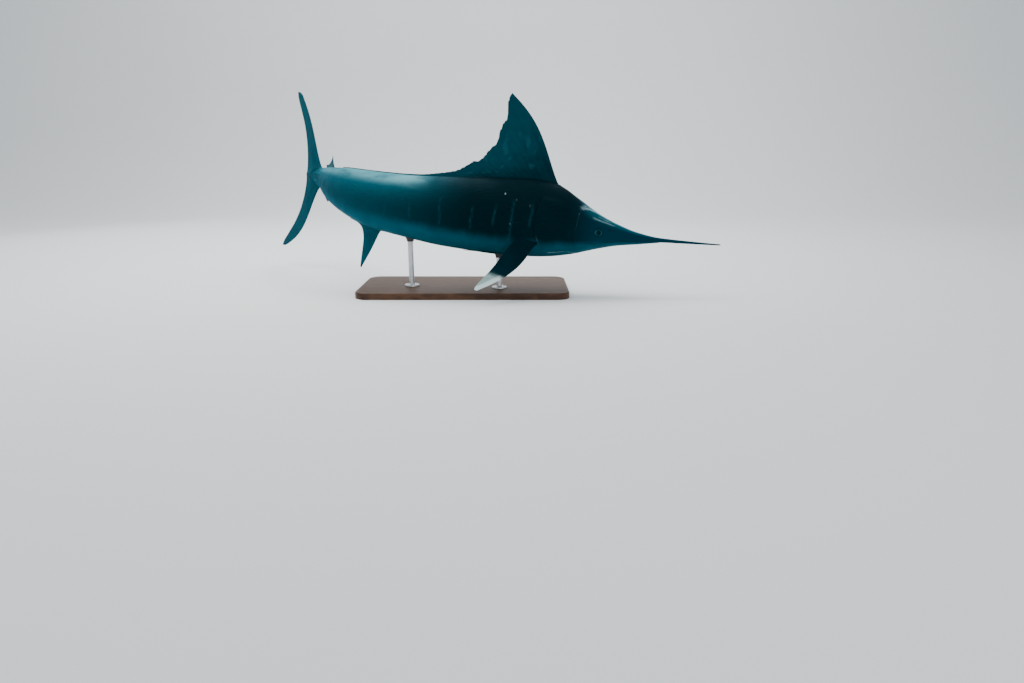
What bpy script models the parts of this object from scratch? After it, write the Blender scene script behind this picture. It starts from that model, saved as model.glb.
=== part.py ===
"""Striped marlin as a life-size display model: it swims with its tail turned away, on a stand with two rods.

Metres, +Z up, the head toward +X and the fish's right side toward -Y. The origin is the middle of the
stand's underside. The fish is described straight, by s (distance back from the tip of the lower jaw), y (to
its left) and z (up), and each point is then carried onto the bent spine. A fin is a fan of rays that stand
out as low ridges on its membrane.
"""

import math

import bmesh
import bpy
import numpy as np

# Where things lie along the fish.
BILL_TIP = -0.284
BILL_END = 0.06
MOUTH_END = 0.36
HEAD_END = 0.60
TORSO_JOINTS = (1.05, 1.50)
STALK_END = 2.12
EYE_S = 0.296
EYE_Z = 0.010
EYE_RADII = (0.0250, 0.0220, 0.0120)

# Fit between pieces: a small gap, so that no two overlap, and how much the body is grown to cut the roots
# of the fins.
GAP = 0.0003
GROWN = 0.00045

# The stand. The spine stands at this height where s is SPINE_PLACE_S.
SPINE_HEIGHT = 0.345
SPINE_PLACE_S = 0.8
BASE_CENTRE = (-0.13, 0.06)
BASE_SIZE = (1.00, 0.44, 0.03)
ROD_RADIUS = 0.013
ROD_STATIONS = (0.74, 1.17)

# The section of the body: height above the spine, depth below it and half width.
TOP = (
    (-0.29, 0.0025), (-0.15, 0.006), (0.0, 0.012), (0.1, 0.028), (0.2, 0.059), (0.28, 0.092), (0.4, 0.158),
    (0.5, 0.206), (0.6, 0.218), (0.8, 0.199), (1.0, 0.172), (1.2, 0.147), (1.4, 0.132), (1.6, 0.115),
    (1.8, 0.088), (2.0, 0.058), (2.13, 0.047),
)
DEPTH = (
    (-0.29, 0.003), (-0.15, 0.007), (-0.02, 0.0098), (0.0, 0.0112), (0.03, 0.0152), (0.1, 0.0255),
    (0.2, 0.040), (0.28, 0.060), (0.4, 0.098), (0.5, 0.123), (0.6, 0.137), (0.8, 0.1515), (1.0, 0.151),
    (1.2, 0.141), (1.4, 0.131), (1.6, 0.106), (1.8, 0.078), (2.0, 0.052), (2.13, 0.044),
)
HALF_WIDTH = (
    (-0.29, 0.003), (-0.15, 0.0085), (0.0, 0.017), (0.1, 0.027), (0.2, 0.042), (0.28, 0.057), (0.4, 0.078),
    (0.5, 0.091), (0.6, 0.097), (0.8, 0.097), (1.0, 0.091), (1.2, 0.081), (1.4, 0.068), (1.6, 0.053),
    (1.8, 0.038), (1.95, 0.028), (2.06, 0.019), (2.13, 0.008),
)
MOUTH = ((-0.05, -0.0094), (0.0, -0.0098), (0.1, -0.0135), (0.2, -0.0225), (0.3, -0.0385), (0.38, -0.054))

# The bend: the way that the spine turns to the left, and how it climbs toward the tail, in degrees.
TURN = (
    (-0.3, 2.0), (0.6, 2.0), (0.9, 4.2), (1.15, 13.0), (1.35, 28.0), (1.55, 43.0), (1.75, 56.0), (1.95, 66.0),
    (2.12, 44.0), (2.6, 44.0),
)
CLIMB = ((-0.3, 3.9), (0.05, 3.9), (0.65, 8.4), (1.5, 8.4), (2.1, 5.5), (2.6, 5.5))
BANK = -9.0

# The first dorsal fin: for a ray that starts at s, how far back its tip lies and how far above the back.
DORSAL = (
    (0.497, 0.289, 0.392), (0.54, 0.257, 0.336), (0.58, 0.223, 0.271), (0.62, 0.192, 0.218),
    (0.66, 0.166, 0.160), (0.71, 0.146, 0.117), (0.77, 0.123, 0.086), (0.84, 0.102, 0.059),
    (0.92, 0.085, 0.033), (1.0, 0.070, 0.018), (1.1, 0.055, 0.009), (1.25, 0.045, 0.006),
    (1.4, 0.035, 0.005), (1.55, 0.030, 0.005), (1.64, 0.025, 0.003),
)

# How far its first ray bows forward, for its length, and how near to the tip the bow is greatest.
DORSAL_BOW = 0.072
DORSAL_SWELL = 1.4

# A lobe of the tail fin in its own plane, as (share of the way from the front ray to the last, back, out).
LOBE_ROOT = ((0.0, -0.045, 0.030), (0.5, 0.0, 0.012), (1.0, 0.018, GAP / 2))
LOBE_EDGE = (
    (0.0, 0.230, 0.424), (0.05, 0.260, 0.436), (0.10, 0.283, 0.437), (0.16, 0.272, 0.408),
    (0.27, 0.230, 0.347), (0.42, 0.176, 0.268), (0.58, 0.135, 0.185), (0.74, 0.109, 0.103),
    (0.88, 0.097, 0.040), (1.0, 0.091, GAP / 2),
)

# How far out a lobe reaches, how much slimmer the lower one is at its middle, how far the front rays of the
# upper and the lower lobe bow for their length, and how near to their tips they bow most.
LOBE_REACH = 0.437
LOWER_LOBE_SLIMMER = 0.016
LOBE_BOWS = (0.038, 0.104)
LOBE_SWELL = 1.4

# A pectoral fin in its own plane, from its front ray to its last, as (share of the way, outward, across).
PECTORAL_ROOT = ((0.0, -0.030, -0.028), (1.0, -0.020, 0.034))
PECTORAL_EDGE = (
    (0.0, 0.340, -0.0155), (0.04, 0.346, -0.0060), (0.10, 0.334, 0.0015), (0.25, 0.300, 0.0060),
    (0.45, 0.241, 0.0105), (0.62, 0.180, 0.0190), (0.77, 0.122, 0.0300), (0.90, 0.066, 0.0385),
    (1.0, 0.020, 0.0375),
)

# How many spaces the section's ring has above the line of the mouth, and points below it.
RING_TOP = 13
RING_LOW = 9

BACK_BLUE = (0.012, 0.026, 0.040, 1)
FIN_BLUE = (0.010, 0.020, 0.030, 1)
JAW_GREY = (0.10, 0.15, 0.17, 1)
PALE = (0.55, 0.60, 0.60, 1)
EYE_DARK = (0.01, 0.01, 0.012, 1)
STEEL = (0.45, 0.46, 0.47, 1)
WOOD = (0.05, 0.03, 0.02, 1)


def smooth(table, x):
    """The value at x of a curve through the table's pairs that never overshoots them."""
    xs = np.array([row[0] for row in table])
    ys = np.array([row[1] for row in table])
    x = np.clip(x, xs[0], xs[-1])
    step = np.diff(xs)
    rise = np.diff(ys) / step
    slope = np.concatenate([rise[:1], np.zeros(len(rise) - 1), rise[-1:]])
    same = rise[:-1] * rise[1:] > 0
    inner = np.where(same, rise[:-1] * rise[1:], 0.0)
    slope[1:-1] = 2 * inner / np.where(same, rise[:-1] + rise[1:], 1.0)
    i = np.clip(np.searchsorted(xs, x, side="right") - 1, 0, len(step) - 1)
    t = (x - xs[i]) / step[i]
    first = (2 * t**3 - 3 * t**2 + 1) * ys[i] + (t**3 - 2 * t**2 + t) * step[i] * slope[i]
    second = (3 * t**2 - 2 * t**3) * ys[i + 1] + (t**3 - t**2) * step[i] * slope[i + 1]
    return first + second


def unit(v):
    return v / np.linalg.norm(v, axis=-1, keepdims=True)


def bent_spine(step=0.005):
    """Positions and the three directions (tailward, left, up) at even steps along the spine."""
    s = np.arange(-0.3, 2.6, step)
    turn = np.radians(smooth(TURN, s))
    climb = np.radians(smooth(CLIMB, s))
    along = np.stack([-np.cos(turn) * np.cos(climb), np.sin(turn) * np.cos(climb), np.sin(climb)], axis=1)
    moves = 0.5 * (along[1:] + along[:-1]) * step
    place = np.vstack([np.zeros(3), np.cumsum(moves, axis=0)])
    place -= place[int(round((SPINE_PLACE_S - s[0]) / step))]
    place += np.array([-BASE_CENTRE[0], -BASE_CENTRE[1], SPINE_HEIGHT])
    side = unit(np.cross(along, [0.0, 0.0, 1.0]))
    rise = np.cross(side, along)
    bank = math.radians(BANK)
    left = math.cos(bank) * side + math.sin(bank) * rise
    up = -math.sin(bank) * side + math.cos(bank) * rise
    return s, place, along, left, up


SPINE = bent_spine()


def spine_at(s):
    """The spine's position at s and its tailward, left and up directions there."""
    found = []
    for values in SPINE[1:]:
        found.append(np.array([np.interp(s, SPINE[0], values[:, k]) for k in range(3)]))
    return found[0], unit(found[1]), unit(found[2]), unit(found[3])


def fish(s, y, z):
    """The bent place of a point given in the straight fish."""
    place, _, left, up = spine_at(s)
    return place + y * left + z * up


def section(s, angle, grow=0.0):
    """(y, z) on the skin at s, the angle counted from the top of the back round the left side."""
    c, sn = math.cos(angle), math.sin(angle)
    high = float(smooth(TOP if c > 0 else DEPTH, s)) + grow
    wide = float(smooth(HALF_WIDTH, s)) + grow
    narrow = 0.16 * min(max((s - 0.3) / 0.25, 0.0), 1.0) * c * c if c > 0 else 0.0
    return wide * sn * (1 - narrow), high * c


def mouth_angle(s):
    """Where the line of the mouth crosses the section."""
    drop = float(smooth(MOUTH, s))
    return math.acos(max(-0.9, drop / float(smooth(DEPTH, s))))


def skin(s, angle, lift=0.0):
    y, z = section(s, angle, lift)
    return fish(s, y, z)


def skin_frame(s, angle):
    """A point on the skin, its outward direction, and the tailward and upward directions along the skin."""
    here = skin(s, angle)
    back = unit(skin(s + 0.004, angle) - skin(s - 0.004, angle))
    down = unit(skin(s, angle + 0.02) - skin(s, angle - 0.02))
    out = unit(np.cross(down, back))
    return here, out, back, unit(np.cross(out, back))


def new_object(name, points, faces, colour, rough=0.4, metal=0.0):
    """A closed mesh object, its faces turned outward, with its own material."""
    mesh = bpy.data.meshes.new(name)
    mesh.from_pydata([tuple(map(float, p)) for p in points], [], [tuple(f) for f in faces])
    work = bmesh.new()
    work.from_mesh(mesh)
    bmesh.ops.remove_doubles(work, verts=work.verts[:], dist=1e-6)
    bmesh.ops.recalc_face_normals(work, faces=work.faces[:])
    if work.calc_volume(signed=True) < 0:
        bmesh.ops.reverse_faces(work, faces=work.faces[:])
    work.to_mesh(mesh)
    work.free()
    mesh.shade_smooth()
    mesh.set_sharp_from_angle(angle=math.radians(35))
    obj = bpy.data.objects.new(name, mesh)
    bpy.context.scene.collection.objects.link(obj)
    if colour is not None:
        material = bpy.data.materials.new(name + "_surface")
        material.use_nodes = True
        shader = material.node_tree.nodes["Principled BSDF"]
        shader.inputs["Base Color"].default_value = colour
        shader.inputs["Roughness"].default_value = rough
        shader.inputs["Metallic"].default_value = metal
        mesh.materials.append(material)
    return obj


def loft(rings, first_cap=None, last_cap=None):
    """Points and triangles of the closed shape through rings with equal numbers of points."""
    count = len(rings[0])
    points = [p for ring in rings for p in ring]
    faces = []
    for i in range(len(rings) - 1):
        for k in range(count):
            a, b = i * count + k, i * count + (k + 1) % count
            faces += [(a, b, b + count), (a, b + count, a + count)]
    for ring, centre, start in ((rings[0], first_cap, 0), (rings[-1], last_cap, (len(rings) - 1) * count)):
        points.append(np.mean(ring, axis=0) if centre is None else centre)
        hub = len(points) - 1
        turned = start == 0
        for k in range(count):
            a, b = start + k, start + (k + 1) % count
            faces.append((hub, b, a) if turned else (hub, a, b))
    return points, faces


def full_ring(s, grow=0.0):
    """The whole section at s, with points on the line of the mouth and beside it."""
    edge = mouth_angle(min(s, MOUTH_END))
    angles = ring_angles(edge)
    return [skin(s, a, grow) for a in angles]


def ring_angles(edge):
    high = [-edge + 2 * edge * k / (RING_TOP - 1) for k in range(RING_TOP)]
    lip = min(0.09, 0.4 * edge)
    high = [high[0], high[0] + lip] + high[1:-1] + [high[-1] - lip, high[-1]]
    low = [edge + (2 * math.pi - 2 * edge) * k / (RING_LOW + 1) for k in range(1, RING_LOW + 1)]
    return high + low


def jaw_ring(s, upper):
    """The section above or below the line of the mouth, its lips drawn in a little at the line."""
    edge = mouth_angle(s)
    angles = ring_angles(edge)
    drop = float(smooth(MOUTH, s)) + (GAP / 2 if upper else -GAP / 2)
    tuck = min(0.0022, 0.10 * float(smooth(HALF_WIDTH, s)))
    points = []
    count = RING_TOP + 2
    wide = abs(section(s, edge)[0]) - tuck
    if upper:
        for k in range(count):
            y, z = section(s, angles[k])
            if k in (0, count - 1):
                y, z = math.copysign(wide, y), drop
            points.append(fish(s, y, max(z, drop)))
        for k in range(1, RING_LOW + 1):
            y = wide * (1 - 2 * k / (RING_LOW + 1))
            points.append(fish(s, y, drop))
        return points
    lip = 0.09
    for a in [edge + lip] + angles[count:] + [2 * math.pi - edge - lip]:
        y, z = section(s, a)
        points.append(fish(s, y, min(z, drop)))
    for k in range(4):
        points.append(fish(s, -wide + 2 * wide * k / 3, drop))
    return points


def stations(start, end, step):
    count = max(1, int(round((end - start) / step)))
    return [start + (end - start) * k / count for k in range(count + 1)]


BODY_STEPS = (
    stations(MOUTH_END, HEAD_END, 0.04)[:-1]
    + stations(HEAD_END, TORSO_JOINTS[0], 0.05)[:-1]
    + stations(TORSO_JOINTS[0], TORSO_JOINTS[1], 0.045)[:-1]
    + stations(TORSO_JOINTS[1], 1.95, 0.045)[:-1]
    + stations(1.95, STALK_END, 0.0285)
)


def between(start, end):
    """The body's stations from start to end, the ends moved in by half a gap."""
    inner = [s for s in BODY_STEPS if start + 1e-6 < s < end - 1e-6]
    return [start + GAP / 2] + inner + [end - GAP / 2]


def baked(obj):
    """Turns the object's modifiers into plain mesh and keeps its largest closed surface."""
    graph = bpy.context.evaluated_depsgraph_get()
    mesh = bpy.data.meshes.new_from_object(obj.evaluated_get(graph))
    obj.modifiers.clear()
    obj.data = mesh
    work = bmesh.new()
    work.from_mesh(mesh)
    bmesh.ops.triangulate(work, faces=work.faces[:])
    left = set(work.verts)
    groups = []
    while left:
        seed = left.pop()
        group, front = {seed}, [seed]
        while front:
            for edge in front.pop().link_edges:
                for vert in edge.verts:
                    if vert in left:
                        left.discard(vert)
                        group.add(vert)
                        front.append(vert)
        groups.append(group)
    groups.sort(key=len)
    for group in groups[:-1]:
        bmesh.ops.delete(work, geom=list(group), context="VERTS")
    work.to_mesh(mesh)
    work.free()


def combine(obj, others, operation):
    """Joins the others to the object, or cuts them from it, in one Boolean, and removes them."""
    group = bpy.data.collections.new("helpers")
    bpy.context.scene.collection.children.link(group)
    for other in others:
        bpy.context.scene.collection.objects.unlink(other)
        group.objects.link(other)
    boolean = obj.modifiers.new("Shape", "BOOLEAN")
    boolean.operation = operation
    boolean.operand_type = "COLLECTION"
    boolean.solver = "EXACT"
    boolean.collection = group
    baked(obj)
    for other in others:
        bpy.data.objects.remove(other)
    bpy.data.collections.remove(group)


def cut_by(obj, cutter):
    """Cuts a shape that stays in the scene from the object."""
    boolean = obj.modifiers.new("Seat", "BOOLEAN")
    boolean.operation = "DIFFERENCE"
    boolean.solver = "MANIFOLD"
    boolean.object = cutter
    baked(obj)


def ellipsoid(name, centre, axes, radii, around=20, rows=10, colour=None, rough=0.4):
    """A closed ellipsoid with its poles along the third axis."""
    points = [centre + axes[2] * radii[2], centre - axes[2] * radii[2]]
    for i in range(1, rows):
        lat = math.pi * i / rows
        for k in range(around):
            turn = 2 * math.pi * k / around
            points.append(
                centre + axes[0] * radii[0] * math.sin(lat) * math.cos(turn)
                + axes[1] * radii[1] * math.sin(lat) * math.sin(turn) + axes[2] * radii[2] * math.cos(lat)
            )
    faces = []
    for k in range(around):
        after = (k + 1) % around
        faces.append((0, 2 + k, 2 + after))
        faces.append((1, 2 + (rows - 2) * around + after, 2 + (rows - 2) * around + k))
        for i in range(rows - 2):
            a, b = 2 + i * around + k, 2 + i * around + after
            faces += [(a, a + around, b + around), (a, b + around, b)]
    return new_object(name, points, faces, colour, rough)


def ring_rim(name, centre, axes, radii, thick, around=24, sides=6):
    """A closed rim, as round an eye: an ellipse in the plane of the first two axes with a round section."""
    points, faces = [], []
    for k in range(around):
        turn = 2 * math.pi * k / around
        way = axes[0] * radii[0] * math.cos(turn) + axes[1] * radii[1] * math.sin(turn)
        out = unit(way)
        for j in range(sides):
            a = 2 * math.pi * j / sides
            points.append(centre + way + out * thick * math.cos(a) + axes[2] * thick * math.sin(a))
            b, c = k * sides + j, ((k + 1) % around) * sides + j
            d, e = k * sides + (j + 1) % sides, ((k + 1) % around) * sides + (j + 1) % sides
            faces += [(b, c, e), (b, e, d)]
    return new_object(name, points, faces, None)


def tube(start, end, radius_start, radius_end, count=16):
    """Points and faces of a round bar between two places."""
    way = unit(end - start)
    side = unit(np.cross(way, [0.31, 0.87, 0.12]))
    other = np.cross(way, side)
    turns = [2 * math.pi * k / count for k in range(count)]
    rings = []
    for place, radius in ((start, radius_start), (end, radius_end)):
        rings.append([place + radius * (side * math.cos(a) + other * math.sin(a)) for a in turns])
    return loft(rings)


def fan_fin(
    name, place, root, edge, bow, half, rays, rows, reach=0.0, span=(0.0, 1.0), trim=0.0, swell=0.9,
):
    """A fin: rays run from root(u) to edge(u), bowed to one side, as ridges on a thin membrane.

    place(a, b, c) gives the point a and b along the fin's plane and c out of it. half(u, v, crest) is half
    the thickness. Every second column is a ray, and reach is how far its tip stands out past the membrane. A
    greater swell bows the rays nearer to their tips.
    """
    columns = 2 * rays + 1
    us = [span[0] + (span[1] - span[0]) * k / (columns - 1) for k in range(columns)]
    us[0] += trim
    us[-1] -= trim
    front, rear = [], []
    for k, u in enumerate(us):
        crest = k % 2
        start, end = np.array(root(u)), np.array(edge(u))
        way = end - start
        long = math.hypot(way[0], way[1])
        if crest:
            end = end + way / long * reach
            way = end - start
        aside = np.array([-way[1], way[0]]) / long
        for j in range(rows + 1):
            v = j / rows
            at = start + way * v + aside * bow(u) * long * math.sin(math.pi * v ** swell)
            thick = half(u, v, crest)
            front.append(place(at[0], at[1], thick))
            rear.append(place(at[0], at[1], -thick))
    wide = rows + 1
    shift = len(front)
    points = front + rear
    faces = []
    for k in range(columns - 1):
        for j in range(rows):
            a, b = k * wide + j, (k + 1) * wide + j
            pair = [(a, b, b + 1), (a, b + 1, a + 1)]
            faces += pair
            faces += [(p[0] + shift, p[2] + shift, p[1] + shift) for p in pair]
    border = [k * wide for k in range(columns)] + [(columns - 1) * wide + j for j in range(1, wide)]
    border += [k * wide + rows for k in range(columns - 2, -1, -1)] + [j for j in range(rows - 1, 0, -1)]
    for a, b in zip(border, border[1:] + border[:1]):
        faces += [(a, b, b + shift), (a, b + shift, a + shift)]
    return new_object(name, points, faces, FIN_BLUE, 0.45)


def ridge_half(lead, trail, tip, ridge, rim=0.0004):
    """Half thickness: lead at the root's front, trail at its back, tip at the edge, and the rays above."""
    def half(u, v, crest):
        base = lead + (trail - lead) * min(1.0, u * 1.6) ** 0.6
        return max(rim, base + (tip - base) * v ** 0.8) + (ridge * (1 - 0.8 * v) if crest else 0.0)
    return half


def body_nodes():
    """The bill, the head, the lower jaw, the lengths of the torso and the tail stalk."""
    bill_steps = [BILL_TIP, -0.278, -0.26, -0.22, -0.165, -0.11, -0.055, -0.012, 0.024, BILL_END - GAP]
    rings = []
    for s in bill_steps:
        shrink = 0.55 if s == BILL_TIP else (0.85 if s == -0.278 else 1.0)
        ring = full_ring(s) if s < -0.03 else jaw_ring(s, True)
        middle = np.mean(ring, axis=0)
        rings.append([middle + (p - middle) * shrink for p in ring])
    new_object("bill", *loft(rings), BACK_BLUE)

    steps = [BILL_END, 0.09, 0.12, 0.16, 0.20, 0.235, 0.265, 0.296, 0.325, MOUTH_END]
    rings = [jaw_ring(s, True) for s in steps]
    rings += [full_ring(s) for s in [MOUTH_END] + between(MOUTH_END, HEAD_END)[1:]]
    head = new_object("head", *loft(rings), BACK_BLUE)

    steps = [0.0, 0.006, 0.02, 0.05, 0.09, 0.13, 0.18, 0.23, 0.28, 0.32, MOUTH_END - GAP]
    rings = []
    for s in steps:
        ring = jaw_ring(s, False)
        top = np.mean(ring[-4:], axis=0)
        shrink = 0.35 if s == 0.0 else (0.75 if s == 0.006 else 1.0)
        rings.append([top + (p - top) * shrink for p in ring])
    new_object("lower_jaw", *loft(rings), JAW_GREY)

    cuts = (HEAD_END,) + TORSO_JOINTS
    for name, start, end in zip(("torso_front", "torso_middle"), cuts[:-1], cuts[1:]):
        new_object(name, *loft([full_ring(s) for s in between(start, end)]), BACK_BLUE)
    stalk = between(TORSO_JOINTS[1], STALK_END)
    tail = new_object("tail_stalk", *loft([full_ring(s) for s in stalk]), BACK_BLUE)
    return head, tail


def add_keels(tail):
    """Two low keels on each side of the tail stalk, just ahead of the tail fin."""
    keels = []
    for side in (-1, 1):
        for z in (0.020, -0.018):
            wide = float(smooth(HALF_WIDTH, 2.03)) * 0.93
            left = spine_at(2.03)[2]
            lean = unit(fish(2.06, side * 0.93 * float(smooth(HALF_WIDTH, 2.06)), z * 0.8)
                        - fish(2.0, side * 0.93 * float(smooth(HALF_WIDTH, 2.0)), z * 1.2))
            out = unit(left - lean * np.dot(left, lean))
            keels.append(ellipsoid(
                "keel", fish(2.03, side * wide, z), (out, np.cross(lean, out), lean),
                (0.011, 0.004, 0.048), 12, 8,
            ))
    combine(tail, keels, "UNION")


def eye_angle():
    return math.acos(EYE_Z / float(smooth(TOP, EYE_S)))


def add_eyes_and_nostrils(head):
    """Cuts the sockets and nostrils, raises the rims of the sockets, and makes the eyeballs."""
    rims, holes = [], []
    for side in (-1, 1):
        here, out, back, up = skin_frame(EYE_S, side * eye_angle())
        out = out if np.dot(out, here - fish(EYE_S, 0, 0)) > 0 else -out
        centre = here - out * 0.0075
        rims.append(ring_rim("rim", here - out * 0.0008, (back, up, out), (0.0235, 0.0205), 0.0034))
        holes.append(ellipsoid("socket", centre, (back, up, out), tuple(r + GAP for r in EYE_RADII)))
        name = "eye_left" if side > 0 else "eye_right"
        ellipsoid(name, centre, (back, up, out), EYE_RADII, 20, 10, EYE_DARK, 0.08)
        for s, size in ((0.232, 0.0032), (0.246, 0.0042)):
            spot, away, along, high = skin_frame(s, side * 1.24)
            away = away if np.dot(away, spot - fish(s, 0, 0)) > 0 else -away
            holes.append(ellipsoid("nostril", spot, (along, high, away), (size, size * 0.7, 0.004), 10, 6))
    combine(head, rims + cheek_plates(), "UNION")
    combine(head, holes, "DIFFERENCE")


def plate(name, side, angles, front, rear, thin, thick, shape, across, along, colour=None):
    """A scale-like plate on the side of the head, thickest near its free rear edge.

    front and rear give where the plate starts and ends for a share of the way down, and it lies between the
    two angles.
    """
    outer, inner = [], []
    for j in range(across + 1):
        b = j / across
        angle = side * math.radians(angles[0] + (angles[1] - angles[0]) * b)
        start, end = float(smooth(front, b)), float(smooth(rear, b))
        ends = min(1.0, 0.2 + 5 * b, 0.2 + 5 * (1 - b))
        for i in range(along + 1):
            a = i / along
            lift = thin + (thick - thin) * ends * a**shape - (0.25 * thick if i == along else 0.0)
            outer.append(skin(start + (end - start) * a, angle, lift))
            inner.append(skin(start + (end - start) * a, angle, -0.007))
    wide = along + 1
    shift = len(outer)
    faces = []
    for j in range(across):
        for i in range(along):
            a, b = j * wide + i, (j + 1) * wide + i
            pair = [(a, a + 1, b + 1), (a, b + 1, b)]
            faces += pair + [(p[0] + shift, p[2] + shift, p[1] + shift) for p in pair]
    border = list(range(wide)) + [j * wide + along for j in range(1, across + 1)]
    border += [across * wide + i for i in range(along - 1, -1, -1)]
    border += [j * wide for j in range(across - 1, 0, -1)]
    for a, b in zip(border, border[1:] + border[:1]):
        faces += [(a, b, b + shift), (a, b + shift, a + shift)]
    return new_object(name, outer + inner, faces, colour)


def gill_cover(side, cutter):
    """The gill cover: a plate with a free, rounded rear edge just ahead of the pectoral fin."""
    cover = plate(
        "gill_cover_left" if side > 0 else "gill_cover_right", side, (54, 145),
        ((0.0, 0.450), (0.3, 0.412), (0.6, 0.404), (1.0, 0.440)),
        ((0.0, 0.556), (0.22, 0.585), (0.38, 0.591), (0.55, 0.581), (0.71, 0.558), (0.85, 0.528),
         (1.0, 0.492)),
        0.0011, 0.0070, 1.6, 9, 8, BACK_BLUE,
    )
    cut_by(cover, cutter)


def cheek_plates():
    """On each side, the cheek's free rear margin, the bone along the upper jaw and a fold of the throat."""
    plates = []
    for side in (-1, 1):
        plates.append(plate(
            "cheek", side, (60, 140),
            ((0.0, 0.360), (0.4, 0.340), (0.68, 0.366), (1.0, 0.376)),
            ((0.0, 0.384), (0.5, 0.394), (0.8, 0.396), (1.0, 0.402)),
            -0.0012, 0.0026, 1.2, 7, 3,
        ))
        low = math.degrees(mouth_angle(0.28)) - 4.0
        plates.append(plate(
            "jaw_bone", side, (low - 17, low),
            ((0.0, 0.235), (1.0, 0.225)), ((0.0, 0.318), (0.5, 0.336), (1.0, 0.322)),
            -0.0010, 0.0024, 0.6, 3, 5,
        ))
        plates.append(plate(
            "throat_fold", side, (149, 172),
            ((0.0, 0.385), (1.0, 0.375)), ((0.0, 0.448), (0.5, 0.462), (1.0, 0.440)),
            -0.0010, 0.0034, 1.2, 4, 4,
        ))
    return plates


def dorsal_rows(column):
    return tuple((row[0], row[column]) for row in DORSAL)


def first_dorsal(cutter):
    """The first dorsal fin, divided along its base so that each length is a plain shape."""
    start, end = DORSAL[0][0], DORSAL[-1][0]
    lean, rise = dorsal_rows(1), dorsal_rows(2)

    def base_s(u):
        return start + (end - start) * u

    def root(u):
        s = base_s(u)
        return s, float(smooth(TOP, s)) - 0.010

    def edge(u):
        s = base_s(u)
        tip = s + float(smooth(lean, s))
        return tip, float(smooth(TOP, tip)) + float(smooth(rise, s)) * (1 + 0.02 * math.sin(61 * s))

    def bow(u):
        return DORSAL_BOW * max(0.0, 1 - 7.2 * u) ** 0.7

    def half(u, v, crest):
        base = 0.0012 + 0.0022 * max(0.0, 1 - 9 * u)
        return base + (0.0005 - base) * v + (0.0016 * (1 - 0.75 * v) if crest else 0.0)

    def place(a, b, c):
        return fish(a, c, b)

    spans = (
        ("dorsal_fin_front", 0.66, 14, 7), ("dorsal_fin_slope", 0.92, 12, 5), ("dorsal_fin_low", 1.26, 12, 3),
        ("dorsal_fin_rear", end, 10, 2),
    )
    before = start
    for name, after, rays, rows in spans:
        low, high = (before - start) / (end - start), (after - start) / (end - start)
        trim = GAP / (end - start) / 2
        fin = fan_fin(
            name, place, root, edge, bow, half, rays, rows, 0.003, (low, high), trim, DORSAL_SWELL,
        )
        cut_by(fin, cutter)
        before = after


def plain_fin(name, cutter, roots, edges, bow, half, rays, rows, place, reach=0.002, swell=0.9):
    """A fin whose root and edge are short tables of places in its own plane."""
    def along(table, u):
        return (
            float(smooth([(row[0], row[1]) for row in table], u)),
            float(smooth([(row[0], row[2]) for row in table], u)),
        )
    fin = fan_fin(
        name, place, lambda u: along(roots, u), lambda u: along(edges, u),
        lambda u: bow * max(0.0, 1 - 1.6 * u), half, rays, rows, reach, swell=swell,
    )
    cut_by(fin, cutter)
    return fin


def midline_fins(cutter):
    """The second dorsal fin and the two anal fins."""
    def place(a, b, c):
        return fish(a, c, b)

    plain_fin(
        "second_dorsal_fin", cutter,
        ((0.0, 1.748, 0.073), (1.0, 1.850, 0.060)),
        ((0.0, 1.812, 0.148), (0.35, 1.830, 0.117), (0.7, 1.872, 0.092), (1.0, 1.928, 0.083)),
        -0.06, ridge_half(0.0028, 0.0012, 0.0005, 0.0011), 6, 4, place,
    )
    plain_fin(
        "first_anal_fin", cutter,
        ((0.0, 1.318, -0.110), (0.45, 1.415, -0.106), (1.0, 1.50, -0.098)),
        ((0.0, 1.403, -0.335), (0.06, 1.409, -0.331), (0.2, 1.413, -0.275), (0.4, 1.417, -0.205),
         (0.62, 1.438, -0.147), (0.8, 1.472, -0.127), (1.0, 1.525, -0.120)),
        -0.026, ridge_half(0.0045, 0.0014, 0.0005, 0.0014), 12, 6, place,
    )
    plain_fin(
        "second_anal_fin", cutter,
        ((0.0, 1.745, -0.064), (1.0, 1.850, -0.052)),
        ((0.0, 1.812, -0.094), (0.35, 1.845, -0.087), (0.7, 1.890, -0.077), (1.0, 1.940, -0.068)),
        0.04, ridge_half(0.0028, 0.0012, 0.0005, 0.0011), 6, 4, place,
    )


def tail_fin(cutter):
    """The two lobes of the crescent tail fin, stiff and swept back."""
    centre, back, left, up = spine_at(2.12)
    centre = centre - back * 0.03

    for name, way, slimmer, bow in (
        ("tail_fin_upper", 1, 0.0, LOBE_BOWS[0]), ("tail_fin_lower", -1, LOWER_LOBE_SLIMMER, LOBE_BOWS[1]),
    ):
        def place(a, b, c, way=way):
            return centre + back * a + up * (way * b) + left * c

        edge = [(u, a - slimmer * math.sin(math.pi * b / LOBE_REACH), b) for u, a, b in LOBE_EDGE]
        plain_fin(
            name, cutter, LOBE_ROOT, edge, bow, ridge_half(0.0085, 0.0040, 0.0006, 0.0014), 14, 8, place,
            swell=LOBE_SWELL,
        )


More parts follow.
